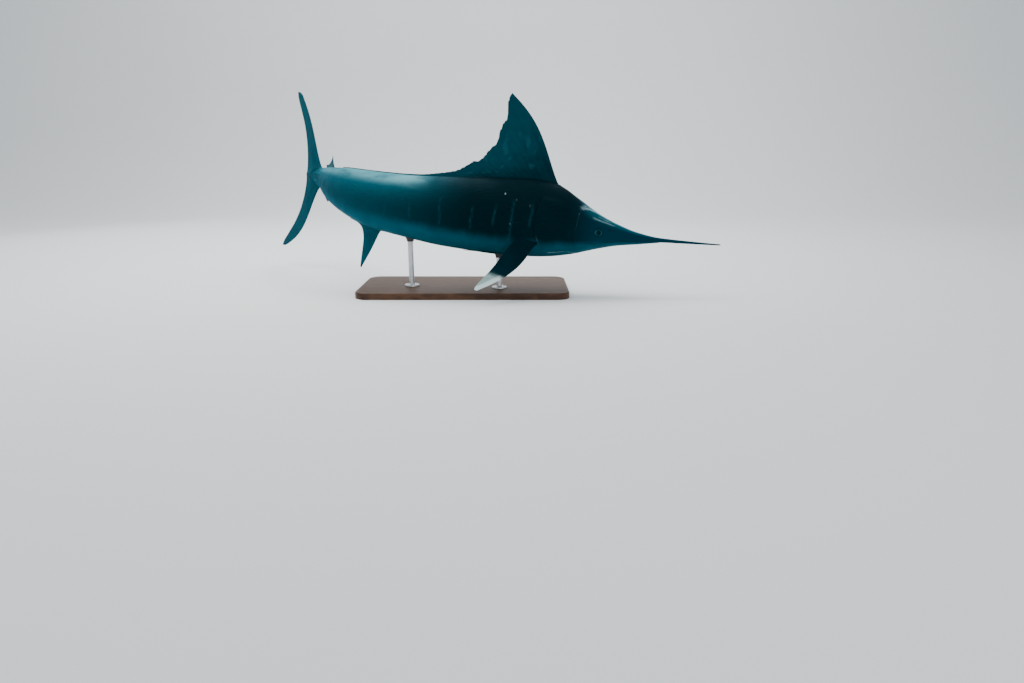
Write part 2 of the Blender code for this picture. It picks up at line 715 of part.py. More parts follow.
def pectoral_fin(side, cutter):
    """A long, narrow pectoral fin. The right one reaches out and down, the left one is swept back."""
    s = 0.618
    angle = math.radians(122)
    y, z = section(s, angle)
    _, back, left, up = spine_at(s)
    root = fish(s, side * y, z)
    if side < 0:
        way = unit(0.196 * back - 0.145 * left - 0.236 * up)
        chord = unit(0.76 * back + 0.65 * up)
    else:
        way = unit(0.300 * back + 0.140 * left - 0.015 * up)
        chord = unit(0.20 * left + 0.60 * up + 0.30 * back)
    chord = unit(chord - way * np.dot(chord, way))
    thick = np.cross(way, chord)

    def place(a, b, c):
        return root + way * a + chord * b + thick * c

    plain_fin(
        "pectoral_fin_left" if side > 0 else "pectoral_fin_right", cutter, PECTORAL_ROOT, PECTORAL_EDGE,
        -0.100, ridge_half(0.0062, 0.0022, 0.0006, 0.0012), 12, 8, place,
    )


def pelvic_fin(side, cutter):
    """A thin, ribbon-like pelvic fin, folded back along the belly."""
    def place(a, b, c):
        return fish(a, side * (0.021 + 0.04 * (a - 0.64)) + side * c, b)

    plain_fin(
        "pelvic_fin_left" if side > 0 else "pelvic_fin_right", cutter,
        ((0.0, 0.640, -0.139), (1.0, 0.664, -0.1345)),
        ((0.0, 0.905, -0.1575), (0.5, 0.900, -0.1553), (1.0, 0.870, -0.1530)),
        0.0, ridge_half(0.0020, 0.0012, 0.0006, 0.0006), 2, 6, place, 0.0,
    )


def stand(cutter):
    """A plain base and two upright rods that end against the belly."""
    mesh = bpy.data.meshes.new("stand_base")
    work = bmesh.new()
    bmesh.ops.create_cube(work, size=1.0)
    bmesh.ops.scale(work, vec=BASE_SIZE, verts=work.verts[:])
    bmesh.ops.translate(work, vec=(0, 0, BASE_SIZE[2] / 2), verts=work.verts[:])
    upright = [e for e in work.edges if abs(e.verts[0].co.z - e.verts[1].co.z) > 0.01]
    bmesh.ops.bevel(work, geom=upright, offset=0.06, segments=6, profile=0.5, affect="EDGES")
    rim = [
        e for e in work.edges
        if min(v.co.z for v in e.verts) > BASE_SIZE[2] - 1e-6
        and any(abs(f.normal.z) < 0.5 for f in e.link_faces)
    ]
    bmesh.ops.bevel(work, geom=rim, offset=0.006, segments=2, profile=0.5, affect="EDGES")
    work.to_mesh(mesh)
    work.free()
    base = bpy.data.objects.new("stand_base", mesh)
    bpy.context.scene.collection.objects.link(base)
    material = bpy.data.materials.new("stand_base_surface")
    material.use_nodes = True
    material.node_tree.nodes["Principled BSDF"].inputs["Base Color"].default_value = WOOD
    mesh.materials.append(material)

    for name, s in zip(("stand_rod_front", "stand_rod_rear"), ROD_STATIONS):
        top = fish(s, 0.0, -float(smooth(DEPTH, s)) + 0.03)
        foot = np.array([top[0], top[1], BASE_SIZE[2] + GAP])
        rod = new_object(name, *tube(foot, top, ROD_RADIUS, ROD_RADIUS), STEEL, 0.3, 1.0)
        flange = new_object("flange", *tube(foot, foot + np.array([0, 0, 0.007]), 0.036, 0.034, 24), None)
        combine(rod, [flange], "UNION")
        cut_by(rod, cutter)


def main():
    for obj in list(bpy.data.objects):
        bpy.data.objects.remove(obj, do_unlink=True)
    head, tail = body_nodes()
    add_keels(tail)
    add_eyes_and_nostrils(head)
    body = new_object("grown_body", *loft([full_ring(s, GROWN) for s in BODY_STEPS]), None)
    gill_cover(-1, body)
    gill_cover(1, body)
    first_dorsal(body)
    midline_fins(body)
    tail_fin(body)
    for side in (-1, 1):
        pectoral_fin(side, body)
        pelvic_fin(side, body)
    stand(body)
    bpy.data.objects.remove(body, do_unlink=True)


main()
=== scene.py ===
import math

import bmesh
import bpy
import numpy as np
from bpy.props import FloatProperty, FloatVectorProperty, PointerProperty
from mathutils import Matrix, Vector


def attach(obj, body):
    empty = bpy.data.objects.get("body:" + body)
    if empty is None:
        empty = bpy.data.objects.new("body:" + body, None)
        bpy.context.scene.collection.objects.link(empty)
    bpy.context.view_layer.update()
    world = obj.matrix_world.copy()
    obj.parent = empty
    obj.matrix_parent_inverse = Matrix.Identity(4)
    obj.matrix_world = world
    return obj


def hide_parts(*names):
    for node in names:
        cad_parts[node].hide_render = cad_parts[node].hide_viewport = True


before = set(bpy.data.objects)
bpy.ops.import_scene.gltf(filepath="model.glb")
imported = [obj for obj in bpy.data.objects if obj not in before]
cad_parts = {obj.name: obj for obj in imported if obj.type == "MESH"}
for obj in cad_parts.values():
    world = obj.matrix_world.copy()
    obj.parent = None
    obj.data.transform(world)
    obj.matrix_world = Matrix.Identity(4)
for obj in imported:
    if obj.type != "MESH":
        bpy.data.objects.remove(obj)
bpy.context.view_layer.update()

bl_info = {
    "name": "Striped marlin display model",
    "version": (1, 0, 0),
    "blender": (4, 5, 0),
    "location": "3D View > Sidebar > Marlin",
    "description": "Skin, fins, eyes and display stand of a life-size striped marlin",
    "category": "Object",
}

# Where things lie along the fish: s is the distance back from the tip of the lower jaw, in metres.
BILL_TIP = -0.284
MOUTH_END = 0.36
EYE_S = 0.296
EYE_Z = 0.010
EYE_RADII = (0.0250, 0.0220, 0.0120)
EYE_DEPTH = 0.0075
STALK_END = 2.12
BODY_CLOSE = 0.034

# The middle of the fish at s = 0.8, as the solids have it.
SPINE_PLACE = (0.13, -0.06, 0.345)
SPINE_PLACE_S = 0.8

# The section of the body: height above the spine, depth below it and half width.
TOP = (
    (-0.29, 0.0025), (-0.15, 0.006), (0.0, 0.012), (0.1, 0.028), (0.2, 0.059), (0.28, 0.092), (0.4, 0.158),
    (0.5, 0.206), (0.6, 0.218), (0.8, 0.199), (1.0, 0.172), (1.2, 0.147), (1.4, 0.132), (1.6, 0.115),
    (1.8, 0.088), (2.0, 0.058), (2.13, 0.047),
)
DEPTH = (
    (-0.29, 0.003), (-0.15, 0.007), (-0.02, 0.0098), (0.0, 0.0112), (0.03, 0.0152), (0.1, 0.0255),
    (0.2, 0.040), (0.28, 0.060), (0.4, 0.098), (0.5, 0.123), (0.6, 0.137), (0.8, 0.1515), (1.0, 0.151),
    (1.2, 0.141), (1.4, 0.131), (1.6, 0.106), (1.8, 0.078), (2.0, 0.052), (2.13, 0.044),
)
HALF_WIDTH = (
    (-0.29, 0.003), (-0.15, 0.0085), (0.0, 0.017), (0.1, 0.027), (0.2, 0.042), (0.28, 0.057), (0.4, 0.078),
    (0.5, 0.091), (0.6, 0.097), (0.8, 0.097), (1.0, 0.091), (1.2, 0.081), (1.4, 0.068), (1.6, 0.053),
    (1.8, 0.038), (1.95, 0.028), (2.06, 0.019), (2.13, 0.008),
)
MOUTH = ((-0.05, -0.0094), (0.0, -0.0098), (0.1, -0.0135), (0.2, -0.0225), (0.3, -0.0385), (0.38, -0.054))

# The bend: the way that the spine turns to the left, and how it climbs toward the tail, in degrees.
TURN = (
    (-0.3, 2.0), (0.6, 2.0), (0.9, 4.2), (1.15, 13.0), (1.35, 28.0), (1.55, 43.0), (1.75, 56.0), (1.95, 66.0),
    (2.12, 44.0), (2.6, 44.0),
)
CLIMB = ((-0.3, 3.9), (0.05, 3.9), (0.65, 8.4), (1.5, 8.4), (2.1, 5.5), (2.6, 5.5))
BANK = -9.0

# The first dorsal fin: for a ray that starts at s, how far back its tip lies and how far above the back.
DORSAL_LEAN = (
    (0.497, 0.289), (0.54, 0.257), (0.58, 0.223), (0.62, 0.192), (0.66, 0.166), (0.71, 0.146), (0.77, 0.123),
    (0.84, 0.102), (0.92, 0.085), (1.0, 0.070), (1.1, 0.055), (1.25, 0.045), (1.4, 0.035), (1.55, 0.030),
    (1.64, 0.025),
)
DORSAL_RISE = (
    (0.497, 0.392), (0.54, 0.336), (0.58, 0.271), (0.62, 0.218), (0.66, 0.160), (0.71, 0.117), (0.77, 0.086),
    (0.84, 0.059), (0.92, 0.033), (1.0, 0.018), (1.1, 0.009), (1.25, 0.006), (1.4, 0.005), (1.55, 0.005),
    (1.64, 0.003),
)
DORSAL_RAYS = 41

# Its torn rear edge: for a place counted in rays from the front, how far the membrane stands past the smooth
# edge.
DORSAL_TEARS = (
    (0.0, 0.0), (1.2, 0.005), (1.6, 0.002), (2.0, -0.006), (2.5, -0.014), (2.8, -0.016), (3.0, -0.006),
    (3.25, 0.0), (3.6, 0.002), (4.5, 0.004), (5.0, 0.002), (5.5, -0.003), (6.0, -0.004), (6.3, 0.001),
    (6.6, 0.004), (7.5, 0.005), (8.0, 0.001), (8.3, -0.003), (9.2, -0.006), (9.9, -0.008), (10.5, -0.005),
    (11.0, 0.006), (11.5, 0.001), (12.9, -0.004), (14.1, -0.005), (15.3, -0.008), (16.3, -0.006),
    (18.0, 0.0),
)

# A lobe of the tail fin in its own plane, as (share of the way from the front ray to the last, back, out).
LOBE_ROOT = ((0.0, -0.050, 0.028), (0.5, -0.006, 0.010), (1.0, 0.018, -0.004))
LOBE_EDGE = (
    (0.0, 0.230, 0.424), (0.05, 0.260, 0.436), (0.10, 0.283, 0.437), (0.16, 0.272, 0.408),
    (0.27, 0.230, 0.347), (0.42, 0.176, 0.268), (0.58, 0.135, 0.185), (0.74, 0.109, 0.103),
    (0.88, 0.097, 0.040), (1.0, 0.091, -0.002),
)

# The other fins likewise, as (share, s, z) on the midline and as (share, out, back) for a pectoral fin.
REAR_DORSAL_ROOT = ((0.0, 1.748, 0.069), (1.0, 1.850, 0.056))
REAR_DORSAL_EDGE = ((0.0, 1.812, 0.148), (0.35, 1.830, 0.117), (0.7, 1.872, 0.092), (1.0, 1.928, 0.083))
FRONT_ANAL_ROOT = ((0.0, 1.318, -0.106), (0.45, 1.415, -0.102), (1.0, 1.50, -0.094))
FRONT_ANAL_EDGE = (
    (0.0, 1.402, -0.337), (0.06, 1.409, -0.334), (0.2, 1.413, -0.277), (0.4, 1.417, -0.205),
    (0.62, 1.438, -0.147), (0.8, 1.472, -0.127), (1.0, 1.525, -0.120),
)
REAR_ANAL_ROOT = ((0.0, 1.745, -0.060), (1.0, 1.850, -0.048))
REAR_ANAL_EDGE = ((0.0, 1.812, -0.094), (0.35, 1.845, -0.087), (0.7, 1.890, -0.077), (1.0, 1.940, -0.068))
PELVIC_ROOT = ((0.0, 0.640, -0.1370), (1.0, 0.664, -0.1325))
PELVIC_EDGE = ((0.0, 0.905, -0.1555), (0.5, 0.900, -0.1535), (1.0, 0.870, -0.1515))
PECTORAL_ROOT = ((0.0, -0.034, -0.028), (1.0, -0.024, 0.034))
PECTORAL_EDGE = (
    (0.0, 0.340, -0.0155), (0.04, 0.346, -0.0060), (0.10, 0.334, 0.0015), (0.25, 0.300, 0.0060),
    (0.45, 0.241, 0.0105), (0.62, 0.180, 0.0190), (0.77, 0.122, 0.0300), (0.90, 0.066, 0.0385),
    (1.0, 0.020, 0.0375),
)

# Where a pectoral fin starts on the side, and for the right and the left one its way out and the line of its
# root, each by its shares back, left and up.
PECTORAL_S = 0.618
PECTORAL_ANGLE = 122
PECTORAL_WAYS = (
    (-1, "pectoral_fin_right", (0.196, -0.145, -0.236), (0.76, 0.0, 0.65)),
    (1, "pectoral_fin_left", (0.300, 0.140, -0.015), (0.30, 0.20, 0.60)),
)

# The map of a pectoral fin counts its length along a slant: out less SHADOW_EDGE_SLANT times back, over the
# length.
# The slant is that of the edge of the body's shadow, painted across the fin, with painted sunlight beyond it.
SHADOW_EDGE_SLANT = 0.57
PECTORAL_LENGTH = 0.35

# How far the first dorsal fin is sunk under the back, the share of a fin's columns that turn round its front
# edge, and the shares of its width and length over which it closes at its rear edge and its rim.
DORSAL_SUNK = 0.014
LEAD_COLUMNS = 0.12
TRAIL_SHARE = 0.012
RIM_SHARE = 0.03

# How far out a lobe reaches, how much slimmer the lower one is at its middle, how far the front rays of the
# upper and the lower lobe bow for their length, and how near to their tips they bow most.
LOBE_REACH = 0.437
LOWER_LOBE_SLIMMER = 0.016
LOBE_BOWS = (0.038, 0.104)
LOBE_SWELL = 1.4

# The free edge of the gill cover and the rear margin of the cheek: s for an angle down from the back.
GILL_EDGE = (
    (0, 0.530), (30, 0.546), (54, 0.570), (72, 0.591), (88, 0.597), (106, 0.586), (120, 0.568), (134, 0.546),
    (150, 0.512), (180, 0.495),
)
GILL_LINE = 0.597
CHEEK_EDGE = ((45, 0.384), (58, 0.395), (80, 0.408), (104, 0.411), (125, 0.404), (142, 0.388))
CHEEK_LINE = 0.395
CHEEK_RING = 0.3958

# The fine rings at the gill cover's edge: the step between them, where each lies, how high it stands and how
# far it is tucked back under the cover. A ring is known by its s to within SAME_RING.
GILL_STEP = 0.0004
GILL_RINGS = tuple(GILL_LINE + GILL_STEP * k for k in (-2, 0, 1, 2, 3, 4))
GILL_LIFTS = (0.0056, 0.0050, 0.0036, 0.0014, 0.0004, 0.0)
GILL_TUCKS = (0.0, 0.0, 0.0010, 0.0032, 0.0036, 0.0010)
SAME_RING = 5e-5

# The layers that a grid's vertices carry, and the lift of a vertex that takes the skin's own relief.
LAYERS = ("across", "along", "lift")
OWN_RELIEF = -9.0

# The eye sockets and the nostrils: size, rings as (share of the size, lift), and the lift of the last point.
# A nostril is (s, size).
SOCKET_SIZE = (0.0235, 0.0205)
SOCKET_RINGS = (
    (1.13, OWN_RELIEF), (1.06, 0.0022), (1.0, 0.0034), (0.955, 0.0036), (0.92, 0.0028), (0.895, 0.0012),
    (0.885, -0.0010), (0.88, -0.0040),
)
SOCKET_FLOOR = -0.012
NOSTRILS = ((0.232, 0.0034), (0.246, 0.0044))
NOSTRIL_ANGLE = 1.24
NOSTRIL_RINGS = ((1.25, OWN_RELIEF), (1.05, 0.0007), (0.85, 0.0004), (0.72, -0.0012), (0.60, -0.0030))
NOSTRIL_FLOOR = -0.0036

# The fold of the throat: its angle down from the back for s.
THROAT_FOLD = ((0.34, 172.0), (0.42, 161.0), (0.53, 146.0), (0.56, 140.0))

# The pale bars as (s, upper angle, lower angle, strength), and small pale specks as (s, angle, size,
# strength).
BARS = (
    (0.614, 62, 94, 0.9), (0.700, 60, 126, 1.0), (0.782, 70, 100, 0.9), (0.885, 74, 112, 0.9),
    (1.022, 66, 114, 0.9), (1.160, 80, 114, 0.8), (1.280, 88, 118, 0.8), (1.400, 88, 118, 0.6),
    (1.530, 86, 116, 0.55), (1.665, 84, 114, 0.5), (1.800, 80, 110, 0.45),
)
PALE_SPECKS = (
    (0.745, -52, 0.0042, 0.75), (0.704, -92, 0.0050, 0.11), (0.690, -60, 0.0045, 0.09),
    (0.626, -66, 0.0055, 0.07), (1.31, 78, 0.0045, 0.14), (0.396, -57, 0.0050, 0.05),
)

# Pale streaks on the forehead, the throat and the cheek, and down the rim of the gill cover, alike on both
# sides, as (s, angle, s, angle, half width, strength): painted highlights and reflections, partly the skin's
# own silver.
HIGHLIGHT_STREAKS = (
    (0.396, 44, 0.268, 4, 0.0082, 1.00), (0.388, 34, 0.300, 2, 0.0050, 0.55),
    (0.334, 50, 0.212, 43, 0.0068, 0.48), (0.306, 37, 0.232, 32, 0.0036, 0.50),
    (0.540, 144, 0.420, 149, 0.0034, 0.42), (0.435, 149, 0.350, 170, 0.0030, 0.30),
    (0.393, 54, 0.406, 90, 0.0020, 0.05), (0.582, 106, 0.550, 136, 0.0034, 0.10),
)

# Half the way round the fish, in metres, at its middle and at the eyes.
HALF_GIRTH = 0.33
HEAD_HALF_GIRTH = 0.27

# The plinth and its two rods.
PLINTH = (1.00, 0.44, 0.03)
PLINTH_CORNER = 0.06
GROOVE_HEIGHT = 0.0060
ROD_RADIUS = 0.013
ROD_STATIONS = (0.74, 1.17)

# Turned from (radius, height): the flange at a rod's foot, a screw, and a cup, whose pairs count from the
# rod's side and from the belly. The screws stand in a ring on the flange.
FLANGE = (
    (0.0, 0.0), (0.0352, 0.0), (0.0358, 0.0006), (0.0358, 0.0046), (0.0346, 0.0062), (0.0175, 0.0068),
    (0.0150, 0.0080), (0.0136, 0.0105), (ROD_RADIUS, 0.0140),
)
SCREW = (
    (0.0, 0.0), (0.0038, 0.0), (0.0038, 0.0012), (0.0030, 0.0021), (0.0016, 0.0024), (0.0016, 0.0012),
    (0.0, 0.0012),
)
CUP = (
    (-0.0006, -0.016), (0.0030, -0.0155), (0.0036, -0.0125), (0.0050, -0.0060), (0.0078, 0.0010),
    (0.0080, 0.0050), (-0.0006, 0.0060), (-0.0006, -0.016),
)
SCREW_RING = 0.0265
SCREW_HEIGHT = 0.0060

# The camera stands where the photograph was taken from, and looks down by this many degrees.
CAMERA_PLACE = (0.232, -3.290, 0.682)
CAMERA_PITCH = 16.0
CAMERA_LENS = 24.01


def smooth(table, x):
    """The values at x of a curve through the table's pairs that never overshoots them."""
    xs = np.array([row[0] for row in table], float)
    ys = np.array([row[1] for row in table], float)
    x = np.clip(x, xs[0], xs[-1])
    step = np.diff(xs)
    rise = np.diff(ys) / step
    slope = np.concatenate([rise[:1], np.zeros(len(rise) - 1), rise[-1:]])
    same = rise[:-1] * rise[1:] > 0
    inner = np.where(same, rise[:-1] * rise[1:], 0.0)
    slope[1:-1] = 2 * inner / np.where(same, rise[:-1] + rise[1:], 1.0)
    i = np.clip(np.searchsorted(xs, x, side="right") - 1, 0, len(step) - 1)
    t = (x - xs[i]) / step[i]
    first = (2 * t**3 - 3 * t**2 + 1) * ys[i] + (t**3 - 2 * t**2 + t) * step[i] * slope[i]
    second = (3 * t**2 - 2 * t**3) * ys[i + 1] + (t**3 - t**2) * step[i] * slope[i + 1]
    return first + second


def ease(x, start, end):
    """Goes smoothly from 0 at start to 1 at end."""
    t = np.clip((x - start) / (end - start), 0.0, 1.0)
    return t * t * (3 - 2 * t)


def hill(x, middle, width):
    """A round bump of height 1 at the middle, nearly gone at twice the width."""
    return np.exp(-(((x - middle) / width) ** 2))


def rounded(x):
    """Rises like a quarter of a circle from 0 at 0 to 1 at 1."""
    return np.sqrt(np.clip(1 - (1 - np.clip(x, 0, 1)) ** 2, 0, 1))


def unit(v):
    return v / np.linalg.norm(v, axis=-1, keepdims=True)


def bent_spine(step=0.005):
    """Positions and the three directions (tailward, left, up) at even steps along the spine."""
    s = np.arange(-0.3, 2.6, step)
    turn = np.radians(smooth(TURN, s))
    climb = np.radians(smooth(CLIMB, s))
    along = np.stack([-np.cos(turn) * np.cos(climb), np.sin(turn) * np.cos(climb), np.sin(climb)], axis=1)
    place = np.vstack([np.zeros(3), np.cumsum(0.5 * (along[1:] + along[:-1]) * step, axis=0)])
    place += np.array(SPINE_PLACE) - place[int(round((SPINE_PLACE_S - s[0]) / step))]
    side = unit(np.cross(along, [0.0, 0.0, 1.0]))
    rise = np.cross(side, along)
    bank = math.radians(BANK)
    left = math.cos(bank) * side + math.sin(bank) * rise
    up = -math.sin(bank) * side + math.cos(bank) * rise
    return s, place, along, left, up


SPINE = bent_spine()


def spine_at(s):
    """The spine's position at each s and its tailward, left and up directions there."""
    found = [
        np.stack([np.interp(s, SPINE[0], values[:, k]) for k in range(3)], axis=-1) for values in SPINE[1:]
    ]
    return found[0], unit(found[1]), unit(found[2]), unit(found[3])


def fish(s, y, z):
    """The bent places of points given in the straight fish."""
    place, _, left, up = spine_at(s)
    return place + np.expand_dims(y, -1) * left + np.expand_dims(z, -1) * up


def section(s, angle, lift=0.0):
    """(y, z) on the skin at s, the angle counted from the top of the back round the left side."""
    c = np.cos(angle)
    high = np.where(c > 0, smooth(TOP, s), smooth(DEPTH, s)) + lift
    wide = smooth(HALF_WIDTH, s) + lift
    narrow = np.where(c > 0, 0.16 * np.clip((s - 0.3) / 0.25, 0.0, 1.0) * c * c, 0.0)
    return wide * np.sin(angle) * (1 - narrow), high * c


def skin_place(s, angle, lift=0.0):
    y, z = section(s, angle, lift)
    return fish(s, y, z)


def skin_frame(s, angle):
    """A point on the skin, with its outward, tailward and upward directions."""
    here = skin_place(s, angle)
    back = unit(skin_place(s + 0.004, angle) - skin_place(s - 0.004, angle))
    down = unit(skin_place(s, angle + 0.02) - skin_place(s, angle - 0.02))
    out = unit(np.cross(down, back))
    if np.dot(out, here - fish(s, 0.0, 0.0)) < 0:
        out = -out
    return here, out, back, unit(np.cross(out, back))


def mouth_angle(s):
    """The angle at which the line of the mouth crosses the section."""
    s = np.clip(s, 0.0, MOUTH_END)
    return np.arccos(np.maximum(-0.9, smooth(MOUTH, s) / smooth(DEPTH, s)))


def new_piece(name, mesh, material):
    obj = bpy.data.objects.new(name, mesh)
    bpy.context.scene.collection.objects.link(obj)
    mesh.materials.append(material)
    return obj


def finished(obj, slot, *nodes):
    """Fixes a piece to the model's one body and lets it stand for its solids; slot is not used."""
    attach(obj, "root")
    if nodes:
        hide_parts(*nodes)
    return obj


def meshed(name, work, sharp=None):
    """The mesh of finished work, smooth except at edges of more than so many degrees."""
    mesh = bpy.data.meshes.new(name)
    work.to_mesh(mesh)
    work.free()
    mesh.shade_smooth()
    if sharp is not None:
        mesh.set_sharp_from_angle(angle=math.radians(sharp))
    return mesh


def layers_of(work):
    return [work.verts.layers.float[key] for key in LAYERS]


def laid_grid(columns, rows):
    """A grid whose vertices carry their two shares, from 0 to 1, and a lift, ready to be moved."""
    work = bmesh.new()
    bmesh.ops.create_grid(work, x_segments=columns, y_segments=rows, size=0.5)
    for key in LAYERS:
        work.verts.layers.float.new(key)
    across, along, _ = layers_of(work)
    for vert in work.verts:
        vert[across] = vert.co.x + 0.5
        vert[along] = vert.co.y + 0.5
    return work


def welded(name, work, place):
    """Moves the vertices to place(across, along, lift), maps them by its UVs and closes the seams."""
    mesh = bpy.data.meshes.new(name)
    work.to_mesh(mesh)
    work.free()
    values = np.zeros((len(LAYERS), len(mesh.vertices)), np.float32)
    for row, key in zip(values, LAYERS):
        mesh.attributes[key].data.foreach_get("value", row)
        mesh.attributes.remove(mesh.attributes[key])
    points, uv = place(*values.astype(float))
    mesh.vertices.foreach_set("co", points.astype(np.float32).ravel())
    corners = np.zeros(len(mesh.loops), np.int32)
    mesh.loops.foreach_get("vertex_index", corners)
    layer = mesh.uv_layers.new(name="Surface")
    layer.data.foreach_set("uv", uv.astype(np.float32)[corners].ravel())
    work = bmesh.new()
    work.from_mesh(mesh)
    bmesh.ops.remove_doubles(work, verts=work.verts[:], dist=2e-6)
    bmesh.ops.recalc_face_normals(work, faces=work.faces[:])
    if work.calc_volume(signed=True) < 0:
        bmesh.ops.reverse_faces(work, faces=work.faces[:])
    work.to_mesh(mesh)
    work.free()
    mesh.shade_smooth()
    return mesh


# Materials. A Value is one output of a node, and arithmetic on it adds the next node.


class Value:
    """One output of a shader node, a number, a place or a colour."""

    def __init__(self, tree, socket):
        self.tree = tree
        self.socket = socket

    def next(self, kind, inputs, **settings):
        """Adds a node to the same tree, and gives back its first visible output."""
        return added(self.tree, kind, inputs, **settings)

    def math(self, operation, *others):
        return self.next("Math", dict(enumerate((self,) + others)), operation=operation)

    def __add__(self, other):
        return self.math("ADD", other)

    def __sub__(self, other):
        return self.math("SUBTRACT", other)

    def __mul__(self, other):
        return self.math("MULTIPLY", other)

    def __abs__(self):
        return self.math("ABSOLUTE")

    def steps(self, low, high, to_low=0.0, to_high=1.0, kind="SMOOTHSTEP"):
        """Carries the range low to high onto the range to_low to to_high."""
        ends = dict(enumerate((self, low, high, to_low, to_high)))
        return self.next("MapRange", ends, interpolation_type=kind)


def feed(socket, value):
    """Links a Value to a socket, or sets the socket to a constant."""
    if isinstance(value, Value):
        value.tree.links.new(value.socket, socket)
    elif value is not None:
        socket.default_value = value


def added(tree, kind, inputs, **settings):
    """Adds a node with its settings, feeds its inputs, by name or by number, and gives back its result."""
    node = tree.nodes.new("ShaderNode" + kind)
    for key, value in settings.items():
        setattr(node, key, value)
    for key, value in inputs.items():
        feed(node.inputs[key], value)
    return Value(tree, next(output for output in node.outputs if output.enabled))


def start_material(name):
    material = bpy.data.materials.new(name)
    material.use_nodes = True
    tree = material.node_tree
    return material, tree, tree.nodes["Principled BSDF"]


def dress(shader, **values):
    """Feeds the inputs of the shader: Base_Color stands for the one named Base Color."""
    for label, value in values.items():
        feed(shader.inputs[label.replace("_", " ")], value)


def painted(colour, *layers):
    """Lays colours over the first one, each as (share, colour)."""
    for share, over in layers:
        colour = share.next("Mix", {0: share, 6: colour, 7: over}, data_type="RGBA")
    return colour


def greatest(values):
    found = values[0]
    for value in values[1:]:
        found = found.math("MAXIMUM", value)
    return found


def distance(a, b):
    return (a * a + b * b).math("SQRT")


def scaled(place, scale, shift=(0.0, 0.0, 0.0)):
    return place.next("Mapping", {"Vector": place, "Location": shift, "Scale": scale})


def noise(place, scale, detail=3.0, rough=0.55, shift=(0.0, 0.0, 0.0)):
    """Noise from 0 to 1 over a place, scaled by one number or by three."""
    if isinstance(scale, tuple):
        place, scale = scaled(place, scale, shift), 1.0
    return place.next("TexNoise", {"Vector": place, "Scale": scale, "Detail": detail, "Roughness": rough})


def bumped(height, strength, depth, after=None):
    return height.next("Bump", {"Strength": strength, "Distance": depth, "Height": height, "Normal": after})


def object_place(tree):
    return Value(tree, tree.nodes.new("ShaderNodeTexCoord").outputs["Object"])


def parts(place):
    """The first two parts of a place."""
    node = place.tree.nodes.new("ShaderNodeSeparateXYZ")
    feed(node.inputs[0], place)
    return Value(place.tree, node.outputs[0]), Value(place.tree, node.outputs[1])


def joined(x, y):
    return x.next("CombineXYZ", {0: x, 1: y})


def surface_place(tree):
    """The piece's own UV map, as a place and as its two parts."""
    place = added(tree, "UVMap", {}, uv_map="Surface")
    return (place, *parts(place))


def start_group(name, inputs, outputs):
    """A node group. Inputs are numbers with a default, or places where it is None. Outputs are numbers."""
    tree = bpy.data.node_groups.new(name, "ShaderNodeTree")
    for label, default in inputs.items():
        kind = "NodeSocketVector" if default is None else "NodeSocketFloat"
        socket = tree.interface.new_socket(name=label, in_out="INPUT", socket_type=kind)
        if default is not None:
            socket.default_value = default
    for label in outputs:
        tree.interface.new_socket(name=label, in_out="OUTPUT", socket_type="NodeSocketFloat")
    outside = tree.nodes.new("NodeGroupInput").outputs
    given = {label: Value(tree, outside[label]) for label in inputs}
    return tree, given, tree.nodes.new("NodeGroupOutput").inputs


def placed(tree, group, **values):
    """Places a group in a material with its own values, and gives back its outputs by name."""
    node = tree.nodes.new("ShaderNodeGroup")
    node.node_tree = group
    for label, value in values.items():
        feed(node.inputs[label], value)
    return {output.name: Value(tree, output) for output in node.outputs}


def mottle_group():
    """Soft cloudy variation with fine grain, for skin, fins, eyes and the stand."""
    name = "Mottle"
    if name in bpy.data.node_groups:
        return bpy.data.node_groups[name]
    tree, given, out = start_group(name, {"Place": None, "Scale": 12.0, "Grain": 0.3}, ("Cloud", "Height"))
    cloud = noise(given["Place"], given["Scale"], 5.0, 0.5)
    fine = noise(given["Place"], 420.0, 2.0)
    feed(out["Cloud"], cloud.steps(0.32, 0.68))
    feed(out["Height"], fine * given["Grain"] + cloud * 0.5)
    return tree


def fin_rays_group():
    """Rays that run out from a fin's root, and paler blotches between them, from the fin's own map."""
    name = "Fin rays"
    if name in bpy.data.node_groups:
        return bpy.data.node_groups[name]
    inputs = {"Place": None, "Rays": 20.0, "Long": 6.0}
    tree, given, out = start_group(name, inputs, ("Ray", "Blotch", "Fine"))
    across, along = parts(given["Place"])
    count = across * given["Rays"]
    far = along * given["Long"]
    feed(out["Ray"], (count * (2 * math.pi)).math("COSINE").steps(-0.2, -0.95))
    feed(out["Blotch"], noise(joined(count, far), 0.62, 1.5, 0.4).steps(0.56, 0.70))
    feed(out["Fine"], noise(joined(count * 9.0, far), 1.0, 3.0, 0.6))
    return tree


def bar_mask(s, down, place):
    """The pale bars: narrow, soft, broken into dots and a little wavy, each between its own two angles."""
    shifted = s - 0.022 + noise(place, (3.0, 9.0, 1.0), 2.0) * 0.044
    bars = []
    for middle, high, low, strength in BARS:
        bar = abs(shifted - middle).steps(0.0105, 0.0010)
        reach = down.steps((high - 5) / 180, (high + 9) / 180) * down.steps((low + 5) / 180, (low - 10) / 180)
        bars.append(bar * reach * strength)
    broken = noise(place, (70.0, 60.0, 1.0), 2.0, 0.7).steps(0.36, 0.62)
    return greatest(bars) * (broken * 0.75 + 0.25)


def pale_speck_mask(s, turned):
    """A few small pale specks, placed by s and angle."""
    spots = []
    for middle, angle, size, strength in PALE_SPECKS:
        away = distance(s - middle, (turned - angle / 180) * HALF_GIRTH)
        spots.append(away.steps(size, size * 0.25, 0.0, strength))
    return greatest(spots)


